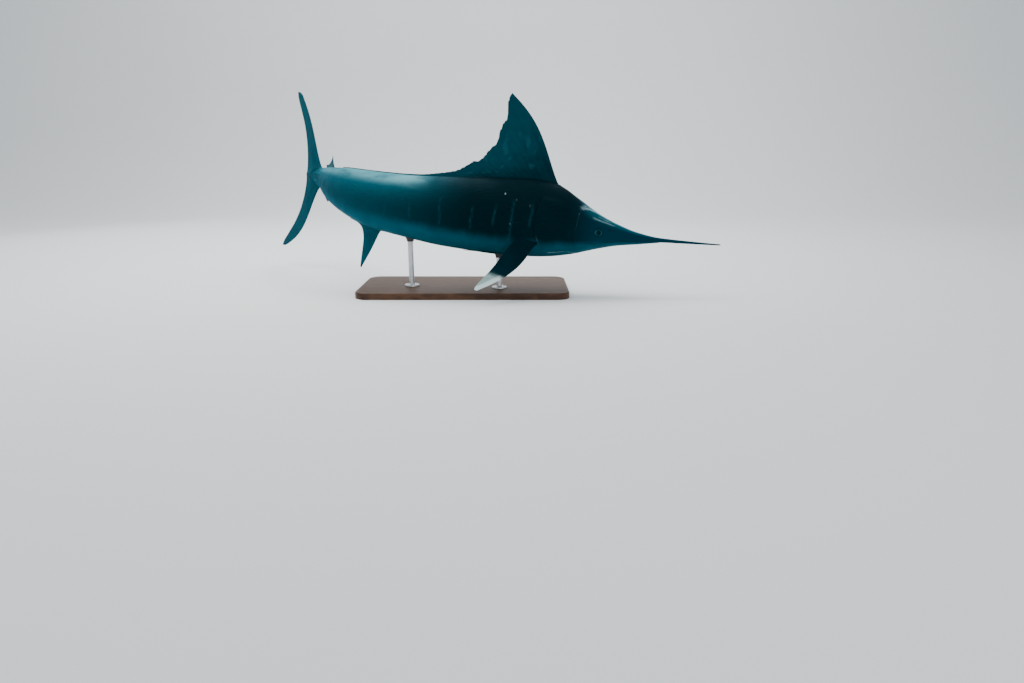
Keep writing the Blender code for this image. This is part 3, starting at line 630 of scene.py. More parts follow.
def highlight_streak_mask(s, down, place):
    """Long pale streaks of painted highlight with ragged edges, patchy inside, that thin out toward both
    ends.
    """
    rag = noise(place, (26.0, 90.0, 1.0), 4.0, 0.70) - 0.5
    patch = noise(place, (55.0, 170.0, 1.0), 3.0, 0.6, (3.0, 0.0, 0.0)).steps(0.36, 0.60, 0.35, 1.0)
    streaks = []
    for s1, angle1, s2, angle2, half, strength in HIGHLIGHT_STREAKS:
        run, fall = s2 - s1, (angle2 - angle1) / 180 * HEAD_HALF_GIRTH
        long = math.hypot(run, fall)
        a = s - s1
        b = (down - angle1 / 180) * HEAD_HALF_GIRTH
        share = a * (run / long**2) + b * (fall / long**2)
        off = abs(b * (run / long) - a * (fall / long) + rag * (2.6 * half))
        ends = share.steps(-0.03, 0.22) * share.steps(1.06, 0.70)
        streaks.append(off.steps(half * 1.2, half * 0.15, 0.0, strength) * ends)
    return greatest(streaks) * patch


def skin_material(look):
    """Blue-black back, teal belly, faint broken bars, painted silver light over the rear back, fine long
    scales.
    """
    material, tree, shader = start_material("marlin_skin")
    place, s, turned = surface_place(tree)
    down = abs(turned)
    around = scaled(place, (1.0, HALF_GIRTH, 1.0))
    mottle = placed(tree, mottle_group(), Place=around, Scale=14.0, Grain=0.15)
    cloud = mottle["Cloud"]

    # Where the dark flank ends: a soft, ragged line that rises toward the tail and drops toward the bill.
    ragged = noise(around, (16.0, 5.0, 1.0), 4.0, 0.6)
    broad = noise(around, (3.0, 4.0, 1.0), 2.0, shift=(4.0, 0.0, 0.0))
    line = s.steps(1.40, 2.0, 0.664, 0.58) + s.steps(0.0, 0.36, 0.10, 0.012)
    line = line + (ragged - 0.5) * 0.08 + (broad - 0.5) * 0.05
    belly = (down - line).steps(-0.070, 0.075)

    # The flank is blackest behind the head and turns steel blue toward the tail.
    streaks = noise(around, (26.0, 260.0, 1.0), 3.0, 0.65)
    # The upper flank toward the tail painted lighter, as where light from above falls on it.
    upper = down.steps(0.56, 0.26) * s.steps(0.88, 1.50) * 0.85
    flank = painted(
        look.flank_colour, (s.steps(0.46, 0.26), look.head_colour), (s.steps(0.85, 1.60), look.rear_colour),
        (upper, look.lit_top_colour), (streaks.steps(0.45, 0.75) * 0.35, look.streak_colour),
    )
    low = painted(
        look.belly_colour, (down.steps(0.72, 0.98), look.underside_colour), (cloud * 0.30, look.rear_colour),
        (s.steps(1.15, 0.75, 0.0, 0.28), look.flank_colour),
    )

    # Painted light from above: a silver sheen over the top of the rear back, partly the skin's own silver.
    painted_sheen = down.steps(0.34, 0.19) * s.steps(1.06, 1.20) * s.steps(2.06, 1.86)
    painted_sheen = painted_sheen * noise(around, (7.0, 20.0, 1.0)).steps(0.30, 0.62, 0.45, 1.0)
    # The top of the head painted a lighter teal, as where light from above falls on it.
    brow = down.steps(0.34, 0.20) * s.steps(0.40, 0.33) * 0.55
    # A painted highlight along the ridge of the forehead, in the same silver.
    ridge_highlight = down.steps(0.170, 0.090) * s.steps(0.41, 0.33) * s.steps(-0.02, 0.16, 0.20, 0.55)

    # The stalk takes on the colour of the tail fin, and fine dark pores lie all over.
    pores = noise(around, (300.0, 300.0, 1.0), 1.0).steps(0.30, 0.48, 0.75, 0.0)
    colour = painted(
        flank, (belly, low), (painted_sheen * look.painted_sheen_strength, look.silver_and_sheen_colour),
        (brow, look.lit_top_colour), (ridge_highlight, look.silver_and_sheen_colour),
        # Painted highlights on the forehead, throat, cheek and gill cover, partly the skin's own silver.
        (highlight_streak_mask(s, down, around) * 0.85, look.highlight_and_speck_colour),
        (bar_mask(s, down, around) * look.bar_strength, look.bar_colour),
        (pale_speck_mask(s, turned), look.highlight_and_speck_colour), (s.steps(2.02, 2.12) * 0.85, look.stalk_colour),
        (pores * 0.25, look.flank_colour),
    )
    scales = streaks.steps(0.35, 0.75) * s.steps(0.50, 0.66)
    dress(
        shader, Base_Color=colour, Roughness=cloud * 0.10 + look.roughness - painted_sheen * 0.06,
        Metallic=s.steps(1.10, 1.80, 0.30, 0.50), Specular_IOR_Level=0.08,
        Specular_Tint=(0.12, 0.60, 0.75, 1.0),
        Normal=bumped(mottle["Height"], 0.18, 0.0008, bumped(scales, look.scale_relief, 0.0012)),
    )
    return material


def fin_material(
    name, look, rays, long, colour, light, sunlit_from=None, blotches=0.0, outward=0.55, shaded=0.6,
):
    """Dark skin over rays, lighter toward its edge by outward, with painted shade toward its root by shaded.

    Past sunlit_from, a share of the fin's length, it turns pale with bright edges, partly as painted
    sunlight.
    """
    material, tree, shader = start_material(name)
    place, across, along = surface_place(tree)
    pattern = placed(tree, fin_rays_group(), Place=place, Rays=float(rays), Long=float(long))
    mottle = placed(tree, mottle_group(), Place=object_place(tree), Scale=22.0, Grain=0.2)
    cloud, fine, ray = mottle["Cloud"], pattern["Fine"], pattern["Ray"]
    tint = painted(
        colour, (cloud * 0.40, light), (fine * 0.30, light), (ray * 0.20, light),
        (along.steps(0.15, 0.95, 0.0, outward), light),
        # Painted shade where the fin leaves the body.
        (along.steps(0.60, 0.02, 0.0, shaded), look.fin_root_shade_colour),
    )
    if blotches:
        inner = along.steps(0.16, 0.30) * along.steps(0.99, 0.93)
        tint = painted(tint, (pattern["Blotch"] * inner * blotches, look.blotch_colour))
    # The pale tip, partly the fin's own colour and partly painted sunlight where it reaches out of the body's
    # shadow.
    if sunlit_from is not None:
        pale, shade = look.sunlit_pale_tip_colour, look.pale_shade_colour
        edge = along + (fine - 0.5) * 0.16 + (cloud - 0.5) * 0.025
        inside = painted(
            pale, (fine.steps(0.38, 0.60, 0.25, 0.95), shade), (ray * 0.40, shade),
            (across.steps(0.15, 0.06), pale), (across.steps(0.40, 0.62), pale),
            (along.steps(0.93, 0.98), pale),
        )
        rear_rim = across.steps(0.950, 0.990) * along.steps(0.25, 0.55) * 0.6
        tint = painted(tint, (edge.steps(sunlit_from - 0.050, sunlit_from + 0.040), inside), (rear_rim, shade))
    dress(
        shader, Base_Color=tint, Roughness=cloud.steps(0.0, 1.0, 0.50, 0.64, "LINEAR"),
        Specular_IOR_Level=0.07, Specular_Tint=(0.12, 0.70, 0.85, 1.0),
        Normal=bumped(mottle["Height"], 0.12, 0.0006, bumped(fine, 0.22, 0.0008)),
    )
    return material


def eye_material(look):
    """A dark pupil in a dim blue-green ring that darkens at its edge, under a wet surface."""
    material, tree, shader = start_material("marlin_eye")
    _, x, y = surface_place(tree)
    away = distance(x, y)
    turn = y.math("ARCTAN2", x)
    fibres = noise(joined(turn * 5.0, away * 2.5), 2.2, 4.0, 0.6)
    mottle = placed(tree, mottle_group(), Place=object_place(tree), Scale=160.0, Grain=0.1)
    # Painted shade: the ring is darker toward its top and bottom, lightest at its front and rear ends.
    ends = abs(turn.math("SINE")).steps(0.35, 0.95, 0.0, 0.75)
    iris = painted(
        look.iris_colour, (fibres.steps(0.35, 0.70), look.iris_dark_colour),
        (mottle["Cloud"] * 0.30, look.iris_dark_colour), (ends, look.iris_dark_colour),
        (away.steps(0.68, 0.86), look.socket_colour),
    )
    dress(
        shader, Base_Color=painted(look.pupil_colour, ((fibres * 0.03 + away).steps(0.44, 0.50), iris)),
        Roughness=away.steps(0.38, 0.46, 0.12, 0.32, "LINEAR"), Specular_IOR_Level=0.05,
        Specular_Tint=(0.30, 0.80, 0.95, 1.0), Coat_Weight=0.02, Coat_Roughness=0.04,
        Normal=bumped(fibres, 0.10, 0.0004),
    )
    return material


def wood_material(look):
    """Dark stained hardwood under a satin varnish, its grain along the plinth."""
    material, tree, shader = start_material("plinth_wood")
    place = object_place(tree)
    warp = noise(place, (1.2, 9.0, 9.0))
    inputs = {"Scale": 9.0, "Distortion": 9.0, "Detail": 3.0, "Detail Scale": 1.2}
    inputs["Vector"] = scaled(place, (0.5, 1.0, 1.0))
    rings = place.next("TexWave", inputs, wave_type="BANDS", bands_direction="Y")
    pores = noise(place, (18.0, 900.0, 900.0), 2.0, 0.7)
    mottle = placed(tree, mottle_group(), Place=place, Scale=5.0, Grain=0.1)
    # The wave's first output is a colour, and this one its value.
    bands = Value(tree, rings.socket.node.outputs["Fac"])
    colour = painted(
        look.wood_dark_colour, (bands, look.wood_light_colour), (warp * 0.5, look.wood_dark_colour),
        (pores.steps(0.56, 0.70, 0.0, 0.55), look.wood_pore_colour),
        (mottle["Cloud"] * 0.25, look.wood_dark_colour),
    )
    dress(
        shader, Base_Color=colour, Roughness=pores.steps(0.4, 0.7, 0.42, 0.56, "LINEAR"),
        Specular_IOR_Level=0.22, Normal=bumped(pores, 0.15, 0.0005),
    )
    return material


def steel_material(look):
    """Brushed stainless steel with fine rings of brushing round the rods."""
    material, tree, shader = start_material("rod_steel")
    place = object_place(tree)
    brushing = noise(place, (30.0, 30.0, 1400.0), 3.0, 0.6)
    mottle = placed(tree, mottle_group(), Place=place, Scale=30.0, Grain=0.1)
    dress(
        shader, Base_Color=painted(look.steel_colour, (mottle["Cloud"] * 0.5, look.steel_dark_colour)),
        Metallic=1.0, Roughness=brushing.steps(0.3, 0.7, 0.24, 0.42, "LINEAR"),
        Normal=bumped(brushing, 0.08, 0.0003),
    )
    return material


def rubber_material(look):
    """The dark rubber cups under the belly."""
    material, tree, shader = start_material("cup_rubber")
    mottle = placed(tree, mottle_group(), Place=object_place(tree), Scale=60.0, Grain=0.8)
    cloud = mottle["Cloud"]
    dress(
        shader, Base_Color=painted(look.rubber_colour, (cloud, look.rubber_worn_colour)),
        Roughness=cloud.steps(0.0, 1.0, 0.55, 0.72, "LINEAR"), Normal=bumped(mottle["Height"], 0.3, 0.0004),
    )
    return material


def stage_material(look):
    """A plain pale studio surface with the faintest unevenness."""
    material, tree, shader = start_material("studio_floor")
    mottle = placed(tree, mottle_group(), Place=object_place(tree), Scale=0.7, Grain=0.0)
    colour = painted(look.floor_colour, (mottle["Cloud"] * 0.2, look.floor_shade_colour))
    dress(shader, Base_Color=colour, Roughness=0.85)
    return material


# The body.


def skin_stations():
    """Where the rings of the skin lie: closest on the head, at the gill cover's edge and at the jaw's tip."""
    runs = (
        (BILL_TIP, -0.276, 7), (-0.276, -0.016, 30), (-0.016, 0.016, 20), (0.016, 0.22, 52), (0.22, 0.26, 20),
        (0.26, 0.336, 38), (0.336, 0.3925, 24),
    )
    found = [BILL_TIP]
    for start, end, count in runs:
        found += list(np.linspace(start, end, count + 1)[1:])
    found += [CHEEK_LINE, CHEEK_RING, 0.397]
    found += list(np.linspace(0.399, GILL_LINE - 0.0035, 78))
    found += [GILL_LINE - 0.002, GILL_LINE - 0.0008]
    found += [GILL_LINE + GILL_STEP * k for k in range(6)]
    runs = ((0.602, 0.72, 22), (0.72, 1.90, 76), (1.90, STALK_END, 38), (STALK_END, 2.154, 12))
    for start, end, count in runs:
        found += list(np.linspace(start, end, count + 1)[1 if found[-1] >= start else 0:])
    return np.array(found)


def skin_columns():
    """Shares of the way down, crowded at the line of the mouth: 0 is the back, 1 the mouth, 2 the belly."""
    near = np.array([0.0, 0.0030, 0.0065, 0.011, 0.017, 0.025, 0.035, 0.048])
    upper = np.concatenate([np.linspace(0.0, 1 - 0.062, 73), (1 - near)[::-1]])
    lower = np.concatenate([1 + near[1:] * 1.6, 1 + np.linspace(0.10, 1.0, 25)])
    return np.concatenate([upper, lower])


def opened(work, middle, size, rings, close):
    """Opens the skin inside an ellipse and carries its edge in through rings of (share of the size, lift)."""
    across, along, lift = layers_of(work)
    first = rings[0][0]

    def share(vert):
        return math.hypot((vert[along] - middle[0]) / size[0], (vert[across] - middle[1]) / size[1])

    inside = [
        face for face in work.faces
        if abs(face.verts[0][along] - middle[0]) < 2 * size[0] and sum(map(share, face.verts)) < 4 * first
    ]
    edge = {e for face in inside for e in face.edges}
    bmesh.ops.delete(work, geom=inside, context="FACES")
    edge = [e for e in edge if e.is_valid and len(e.link_faces) == 1]
    loose = [v for v in work.verts if not v.link_faces]
    bmesh.ops.delete(work, geom=loose, context="VERTS")
    verts = {v for e in edge for v in e.verts}
    before = first
    for vert in verts:
        grown = first / share(vert)
        vert[along] = middle[0] + (vert[along] - middle[0]) * grown
        vert[across] = middle[1] + (vert[across] - middle[1]) * grown
    for next_share, height in rings[1:] + ((0.0, close),):
        made = bmesh.ops.extrude_edge_only(work, edges=edge)["geom"]
        edge = [e for e in made if isinstance(e, bmesh.types.BMEdge) and len(e.link_faces) == 1]
        verts = {v for e in edge for v in e.verts}
        for vert in verts:
            vert[along] = middle[0] + (vert[along] - middle[0]) * next_share / before
            vert[across] = middle[1] + (vert[across] - middle[1]) * next_share / before
            vert[lift] = height
        before = next_share


def gill_weight(down):
    """1 where the gill cover has a free edge, falling to 0 above and below it."""
    return ease(down, 46, 58) * ease(down, 153, 140)


def warped(s, down):
    """Moves the rings so that one follows the cheek's margin and one the gill cover's edge."""
    gill = smooth(GILL_EDGE, down) - GILL_LINE
    cheek = smooth(CHEEK_EDGE, down) - CHEEK_LINE
    near_gill = ease(s, 0.405, GILL_LINE) * ease(s, 0.80, 0.62)
    near_cheek = ease(s, 0.335, CHEEK_LINE) * ease(s, 0.455, 0.400)
    return s + gill * near_gill + cheek * near_cheek * ease(down, 30, 48) * ease(down, 160, 140)


def skin_relief(nominal, s, angle):
    """The lift of the skin over its section: gill cover, cheek, jaw, brow, folds, keels and fin bases."""
    down = np.degrees(np.abs(angle))
    y, z = section(s, angle)
    lift = np.zeros_like(s)

    # The gill cover rises toward its free edge and ends in the fine rings, with a hollow behind them.
    cover = gill_weight(down)
    rise = ease(nominal, 0.402, 0.470) * 0.0022 + ease(nominal, 0.46, GILL_LINE - 0.004) * 0.0040
    rise = np.where(nominal > GILL_LINE - 0.001, 0.0, rise)
    for at, height in zip(GILL_RINGS, GILL_LIFTS):
        rise = np.where(np.abs(nominal - at) < SAME_RING, height, rise)
    lift += cover * rise
    lift += cover * -0.0012 * hill(nominal, GILL_LINE + 0.010, 0.012) * (nominal > GILL_LINE)

    # The margin of the cheek.
    cheek = ease(down, 40, 60) * ease(down, 150, 132)
    margin = np.where(nominal < CHEEK_LINE + 0.0004, 0.0026 * ease(nominal, 0.345, CHEEK_LINE - 0.001), 0.0)
    margin = np.where(np.abs(nominal - CHEEK_RING) < 1e-5, 0.0010, margin)
    lift += cheek * margin

    # The bone along the upper jaw, then the line of the mouth with its lips and its corner.
    edge = np.degrees(mouth_angle(s))
    jaw_bone = hill(down, edge - 12, 7) * ease(s, 0.04, 0.16) * ease(s, 0.338, 0.326)
    lift += 0.0018 * jaw_bone
    shares = np.radians(down - edge) * np.hypot(y, z)
    size = np.clip(smooth(HALF_WIDTH, s) / 0.05, 0.25, 1.0)
    mouth = ease(s, -0.002, 0.004) * ease(s, MOUTH_END + 0.004, MOUTH_END - 0.022)
    lift -= mouth * size * 0.0026 * hill(shares, 0.0, 0.0009 * size)
    lips = hill(shares, -0.0034 * size, 0.0022 * size) + hill(shares, 0.0032 * size, 0.0022 * size)
    lift += mouth * size * 0.0008 * lips
    corner = hill(s, MOUTH_END - 0.004, 0.012) * hill(shares, 0.004, 0.010)
    lift += 0.0014 * corner

    # The tip of the lower jaw, set off from the bill.
    jaw_start = ease(s, 0.007, -0.001) * (down > edge)
    lift -= 0.0013 * jaw_start
    lift -= 0.0009 * hill(s, -0.0035, 0.0030) * ease(down, 130, 160)

    # The brow over the eye and the hollow under it.
    lift += 0.0024 * hill(down, 64, 13) * ease(s, 0.20, 0.27) * ease(s, 0.40, 0.33)
    lift -= 0.0012 * hill(down, 112, 12) * ease(s, 0.27, 0.31) * ease(s, 0.40, 0.35)

    # The fold of the throat, with four finer ones beside it.
    away = np.radians(down - smooth(THROAT_FOLD, s)) * np.hypot(y, z)
    fold = ease(s, 0.335, 0.40) * ease(s, 0.565, 0.53)
    lift += 0.0034 * fold * hill(away, -0.004, 0.005)
    lift -= 0.0022 * fold * hill(away, 0.004, 0.003)
    for k in range(1, 5):
        lift += 0.0008 * fold * hill(away, 0.004 + 0.0075 * k, 0.0028)

    # The bases of the first dorsal and the first anal fin, and the grooves that hold the pelvic fins.
    base = ease(s, 0.482, 0.505) * ease(s, 1.66, 1.60)
    lift += base * (0.0016 + 0.0022 * ease(s, 0.9, 0.55)) * hill(y, 0.0, 0.010) * (down < 90)
    lift += ease(s, 1.29, 1.33) * ease(s, 1.53, 1.49) * 0.0022 * hill(y, 0.0, 0.010) * (down > 90)
    lift -= ease(s, 0.655, 0.69) * ease(s, 0.96, 0.90) * 0.0030 * hill(np.abs(y), 0.027, 0.007) * (down > 120)

    # The root of the pectoral fin.
    pectoral = hill(s, 0.626, 0.034) * hill(np.radians(down - PECTORAL_ANGLE) * np.hypot(y, z), 0.0, 0.026)
    lift += 0.0060 * pectoral

    # Two keels on each side of the stalk, and the notches before the tail fin.
    for height in (0.020, -0.018):
        crest = np.clip(1 - ((s - 2.03) / 0.062) ** 2, 0.0, 1.0) ** 1.2
        lift += 0.0092 * crest * hill(z, height * (1 - (s - 2.03) * 2), 0.0034)
    lift -= 0.0045 * hill(s, 2.085, 0.016) * hill(y, 0.0, 0.012)
    return lift


def skin_shape(across, along, lift):
    """Places for the skin's vertices: across is the angle, along the nominal s, lift that of the openings."""
    down = np.degrees(np.abs(across))
    s = warped(along, down)
    relief = skin_relief(along, s, across)
    tucked = np.zeros_like(s)
    for at, back in zip(GILL_RINGS, GILL_TUCKS):
        tucked = np.where(np.abs(along - at) < SAME_RING, -back, tucked)
    s_place = s + tucked * gill_weight(down)
    total = np.where(lift < OWN_RELIEF / 2, relief, lift)
    round_tip = rounded((s - BILL_TIP) / 0.008)
    t = np.clip((s - STALK_END) / BODY_CLOSE, 0.0, 1.0)
    y, z = section(s_place, across, total)
    y *= round_tip * (1 - t) ** 1.2
    z *= round_tip * (1 - 0.35 * t**2)
    points = fish(s_place, y, z)
    return points, np.stack([s, across / math.pi], axis=-1)


def eye_angle():
    return math.acos(EYE_Z / float(smooth(TOP, EYE_S)))


def build_skin(look):
    stations, shares = skin_stations(), skin_columns()
    count = len(shares) - 1
    work = laid_grid(2 * count, len(stations) - 1)
    across, along, lift = layers_of(work)
    edges = mouth_angle(stations)
    for vert in work.verts:
        row = int(round(vert[along] * (len(stations) - 1)))
        column = int(round(vert[across] * 2 * count)) - count
        share, edge = shares[abs(column)], edges[row]
        angle = share * edge if share <= 1 else edge + (share - 1) * (math.pi - edge)
        vert[across] = math.copysign(angle, column)
        vert[along] = stations[row]
        vert[lift] = OWN_RELIEF
    here, _, _, _ = skin_frame(EYE_S, eye_angle())
    per_s = np.linalg.norm(skin_place(EYE_S + 0.005, eye_angle()) - here) / 0.005
    per_angle = np.linalg.norm(skin_place(EYE_S, eye_angle() + 0.05) - here) / 0.05
    socket = (SOCKET_SIZE[0] / per_s, SOCKET_SIZE[1] / per_angle)
    for side in (-1, 1):
        opened(work, (EYE_S, side * eye_angle()), socket, SOCKET_RINGS, SOCKET_FLOOR)
        for s, size in NOSTRILS:
            around = skin_place(s, NOSTRIL_ANGLE + 0.05) - skin_place(s, NOSTRIL_ANGLE - 0.05)
            high = size * 0.72 / (float(np.linalg.norm(around)) / 0.1)
            opened(work, (s, side * NOSTRIL_ANGLE), (size, high), NOSTRIL_RINGS, NOSTRIL_FLOOR)
    mesh = welded("fish_skin", work, skin_shape)
    skin = new_piece("fish_skin", mesh, skin_material(look))
    finished(
        skin, "skin", "bill", "head", "lower_jaw", "gill_cover_left", "gill_cover_right", "torso_front",
        "torso_middle", "tail_stalk",
    )


def build_eyes(look):
    """Two polished eyeballs, wider than high, set a little below the skin."""
    material = eye_material(look)
    for side, name in ((-1, "eye_right"), (1, "eye_left")):
        here, out, back, up = skin_frame(EYE_S, side * eye_angle())
        work = bmesh.new()
        bmesh.ops.create_uvsphere(work, u_segments=64, v_segments=40, radius=1.0)
        layer = work.loops.layers.uv.new("Surface")
        for face in work.faces:
            for loop in face.loops:
                loop[layer].uv = (loop.vert.co.x, loop.vert.co.y)
        turned = Matrix((back * EYE_RADII[0], up * EYE_RADII[1], out * EYE_RADII[2])).transposed().to_4x4()
        turned.translation = Vector(here - out * EYE_DEPTH)
        bmesh.ops.transform(work, matrix=turned, verts=work.verts[:])
        bmesh.ops.recalc_face_normals(work, faces=work.faces[:])
        finished(new_piece("marlin_" + name, meshed("marlin_" + name, work), material), "eye", name)


# Fins.


def crests(u, v, rays, relief):
    """The height of the rays, which part in two toward the fin's edge."""
    single = (0.5 - 0.5 * np.cos(2 * math.pi * rays * u)) ** 2.2
    double = (0.5 - 0.5 * np.cos(4 * math.pi * rays * u)) ** 1.6
    split = ease(v, 0.42, 0.70)
    return relief * (1 - 0.72 * v) * (single * (1 - split) + 0.75 * double * split)


def build_fin(
    name, material, nodes, place, root, edge, bow, half, rays, relief, size, round_lead=0.03, swell=0.9,
    flare=(0.0, 0.01), height=None, mark=None,
):
    """A closed fin: both faces in one sheet that is folded along its front edge and welded round its rim.

    place(a, b, c) carries a and b in the fin's plane and c out of it. root, edge and bow take the share of
    the way from the first ray to the last, and half takes that share and the share of the ray's length. The
    base spreads by flare[0] and loses it over flare[1], counted by height(a, b) over the skin. mark(a, b)
    takes the place of the share of the length in the map.
    """
    work = laid_grid(2 * size[0], size[1])
    ends = np.array([np.ravel(root(np.array([u]))) for u in (0.0, 1.0)], float)
    across_way = unit(ends[1] - ends[0])

    def shape(across, along, lift):
        fold = across * 2
        side = np.where(fold < 1, 1.0, -1.0)
        x = np.where(fold < 1, fold, 2 - fold)
        turning = round_lead * (1 - np.cos(math.pi / 2 * x / LEAD_COLUMNS))
        straight = round_lead + (1 - round_lead) * (x - LEAD_COLUMNS) / (1 - LEAD_COLUMNS)
        u = np.where(x < LEAD_COLUMNS, turning, straight)
        v = np.clip(along, 0.0, 1.0)
        a0, b0 = root(u)
        a1, b1 = edge(u)
        way_a, way_b = a1 - a0, b1 - b0
        swing = bow(u) * np.sin(math.pi * v**swell)
        a = a0 + way_a * v - way_b * swing
        b = b0 + way_b * v + way_a * swing
        spread = flare[0] * np.exp(-np.maximum(height(a, b), 0.0) / flare[1]) if height else np.zeros_like(a)
        a = a + (2 * u - 1) * spread * across_way[0]
        b = b + (2 * u - 1) * spread * across_way[1]
        thick = half(u, v) + crests(u, v, rays, relief) + spread
        thick *= rounded(u / round_lead) * rounded((1 - u) / TRAIL_SHARE)
        thick *= rounded((1 - v) / RIM_SHARE) * np.where(v > 0, 1.0, 0.0)
        points = place(a, b, side * thick)
        return points, np.stack([u, mark(a, b) if mark else v], axis=-1)

    mesh = welded(name, work, shape)
    finished(new_piece(name, mesh, material), "fin", *nodes)


def tapered(lead, trail, tip):
    """Half the thickness: lead at the front of the root, trail at its back and tip at the fin's edge."""
    def half(u, v):
        base = lead + (trail - lead) * np.minimum(1.0, u * 1.6) ** 0.6
        return np.maximum(0.00035, base + (tip - base) * v**0.8)
    return half


def midline(a, b, c):
    return fish(a, c, b)


def over_back(a, b):
    return b - smooth(TOP, a)


def under_belly(a, b):
    return -b - smooth(DEPTH, a)


def between(rows):
    """A place in the fin's plane for a share of the way, from rows of (share, a, b)."""
    def found(u):
        return smooth([(row[0], row[1]) for row in rows], u), smooth([(row[0], row[2]) for row in rows], u)
    return found


def leading_bow(amount):
    return lambda u: amount * np.maximum(0.0, 1 - 1.6 * u)


def build_dorsal(look):
    """The raised first dorsal fin: some forty rays with a ragged, webbed edge."""
    start, end = DORSAL_LEAN[0][0], DORSAL_LEAN[-1][0]
    rng = np.random.default_rng(8)
    cuts = rng.uniform(0.3, 1.0, DORSAL_RAYS + 2)

    def root(u):
        s = start + (end - start) * u
        return s, smooth(TOP, s) - DORSAL_SUNK

    def edge(u):
        s = start + (end - start) * u
        tip = s + smooth(DORSAL_LEAN, s)
        rise = smooth(DORSAL_RISE, s) * (1 + 0.02 * np.sin(61 * s))
        phase = u * DORSAL_RAYS + 0.5
        ray = np.clip(phase.astype(int), 0, DORSAL_RAYS)
        web = (phase - ray) ** 1.6 * (1 - ease(phase - ray, 0.86, 1.0))
        depth = np.minimum(0.0042, 0.16 * rise) * cuts[ray] * ease(u, 0.010, 0.03)
        far = np.hypot(tip - s, smooth(TOP, tip) + rise - smooth(TOP, s) + DORSAL_SUNK)
        torn = np.interp(u * DORSAL_RAYS, *zip(*DORSAL_TEARS))
        short = 1 + (torn - depth * web * 1.7) / far
        a0, b0 = root(u)
        return a0 + (tip - a0) * short, b0 + (smooth(TOP, tip) + rise - b0) * short

    def bow(u):
        return 0.072 * np.maximum(0.0, 1 - 7.2 * u) ** 0.7

    def half(u, v):
        base = 0.0010 + 0.0022 * np.maximum(0.0, 1 - 9 * u)
        return base + (0.0004 - base) * v

    material = fin_material(
        "dorsal_fin_skin", look, DORSAL_RAYS, 9.0, look.dorsal_colour, look.dorsal_light_colour,
        blotches=look.blotch_strength,
    )
    nodes = ("dorsal_fin_front", "dorsal_fin_slope", "dorsal_fin_low", "dorsal_fin_rear")
    build_fin(
        "dorsal_fin", material, nodes, midline, root, edge, bow, half, rays=DORSAL_RAYS, relief=0.0011,
        size=(DORSAL_RAYS * 9, 60), round_lead=0.006, swell=1.4, flare=(0.0040, 0.008), height=over_back,
    )


def build_small_fins(look):
    """The second dorsal fin and the two anal fins."""
    material = fin_material(
        "small_fin_skin", look, 12, 5.0, look.tail_colour, look.tail_light_colour, outward=0.2, shaded=0.1,
    )
    small = {"rays": 6, "relief": 0.0010, "size": (90, 26), "round_lead": 0.05, "flare": (0.0035, 0.007)}
    build_fin(
        "rear_dorsal_fin", material, ("second_dorsal_fin",), midline, between(REAR_DORSAL_ROOT),
        between(REAR_DORSAL_EDGE), leading_bow(-0.06), tapered(0.0028, 0.0012, 0.0004), height=over_back,
        **small,
    )
    build_fin(
        "front_anal_fin", material, ("first_anal_fin",), midline, between(FRONT_ANAL_ROOT),
        between(FRONT_ANAL_EDGE), leading_bow(-0.026), tapered(0.0045, 0.0014, 0.0004), rays=16,
        relief=0.0010, size=(16 * 9, 44), flare=(0.0050, 0.010), height=under_belly,
    )
    build_fin(
        "rear_anal_fin", material, ("second_anal_fin",), midline, between(REAR_ANAL_ROOT),
        between(REAR_ANAL_EDGE), leading_bow(0.04), tapered(0.0028, 0.0012, 0.0004), height=under_belly,
        **small,
    )


def build_tail(look):
    """The two stiff lobes of the crescent tail fin."""
    material = fin_material(
        "tail_fin_skin", look, 20, 10.0, look.tail_colour, look.tail_light_colour, outward=0.0, shaded=0.1,
    )
    centre, back, left, up = spine_at(STALK_END)
    centre = centre - back * 0.03
    for name, node, way, slimmer, bow in (
        ("tail_lobe_upper", "tail_fin_upper", 1, 0.0, LOBE_BOWS[0]),
        ("tail_lobe_lower", "tail_fin_lower", -1, LOWER_LOBE_SLIMMER, LOBE_BOWS[1]),
    ):
        def place(a, b, c, way=way):
            return centre + np.outer(a, back) + np.outer(way * b, up) + np.outer(c, left)

        # A lobe's height is counted over the stalk, which is 0.044 high here and ends behind.
        edge = [(u, a - slimmer * math.sin(math.pi * b / LOBE_REACH), b) for u, a, b in LOBE_EDGE]
        build_fin(
            name, material, (node,), place, between(LOBE_ROOT), between(edge), leading_bow(bow),
            tapered(0.0085, 0.0040, 0.0006), rays=20, relief=0.0010, size=(20 * 9, 70), round_lead=0.05,
            swell=LOBE_SWELL, flare=(0.0060, 0.022),
            height=lambda a, b: b - 0.044 + np.maximum(a - 0.01, 0.0) * 0.6,
        )


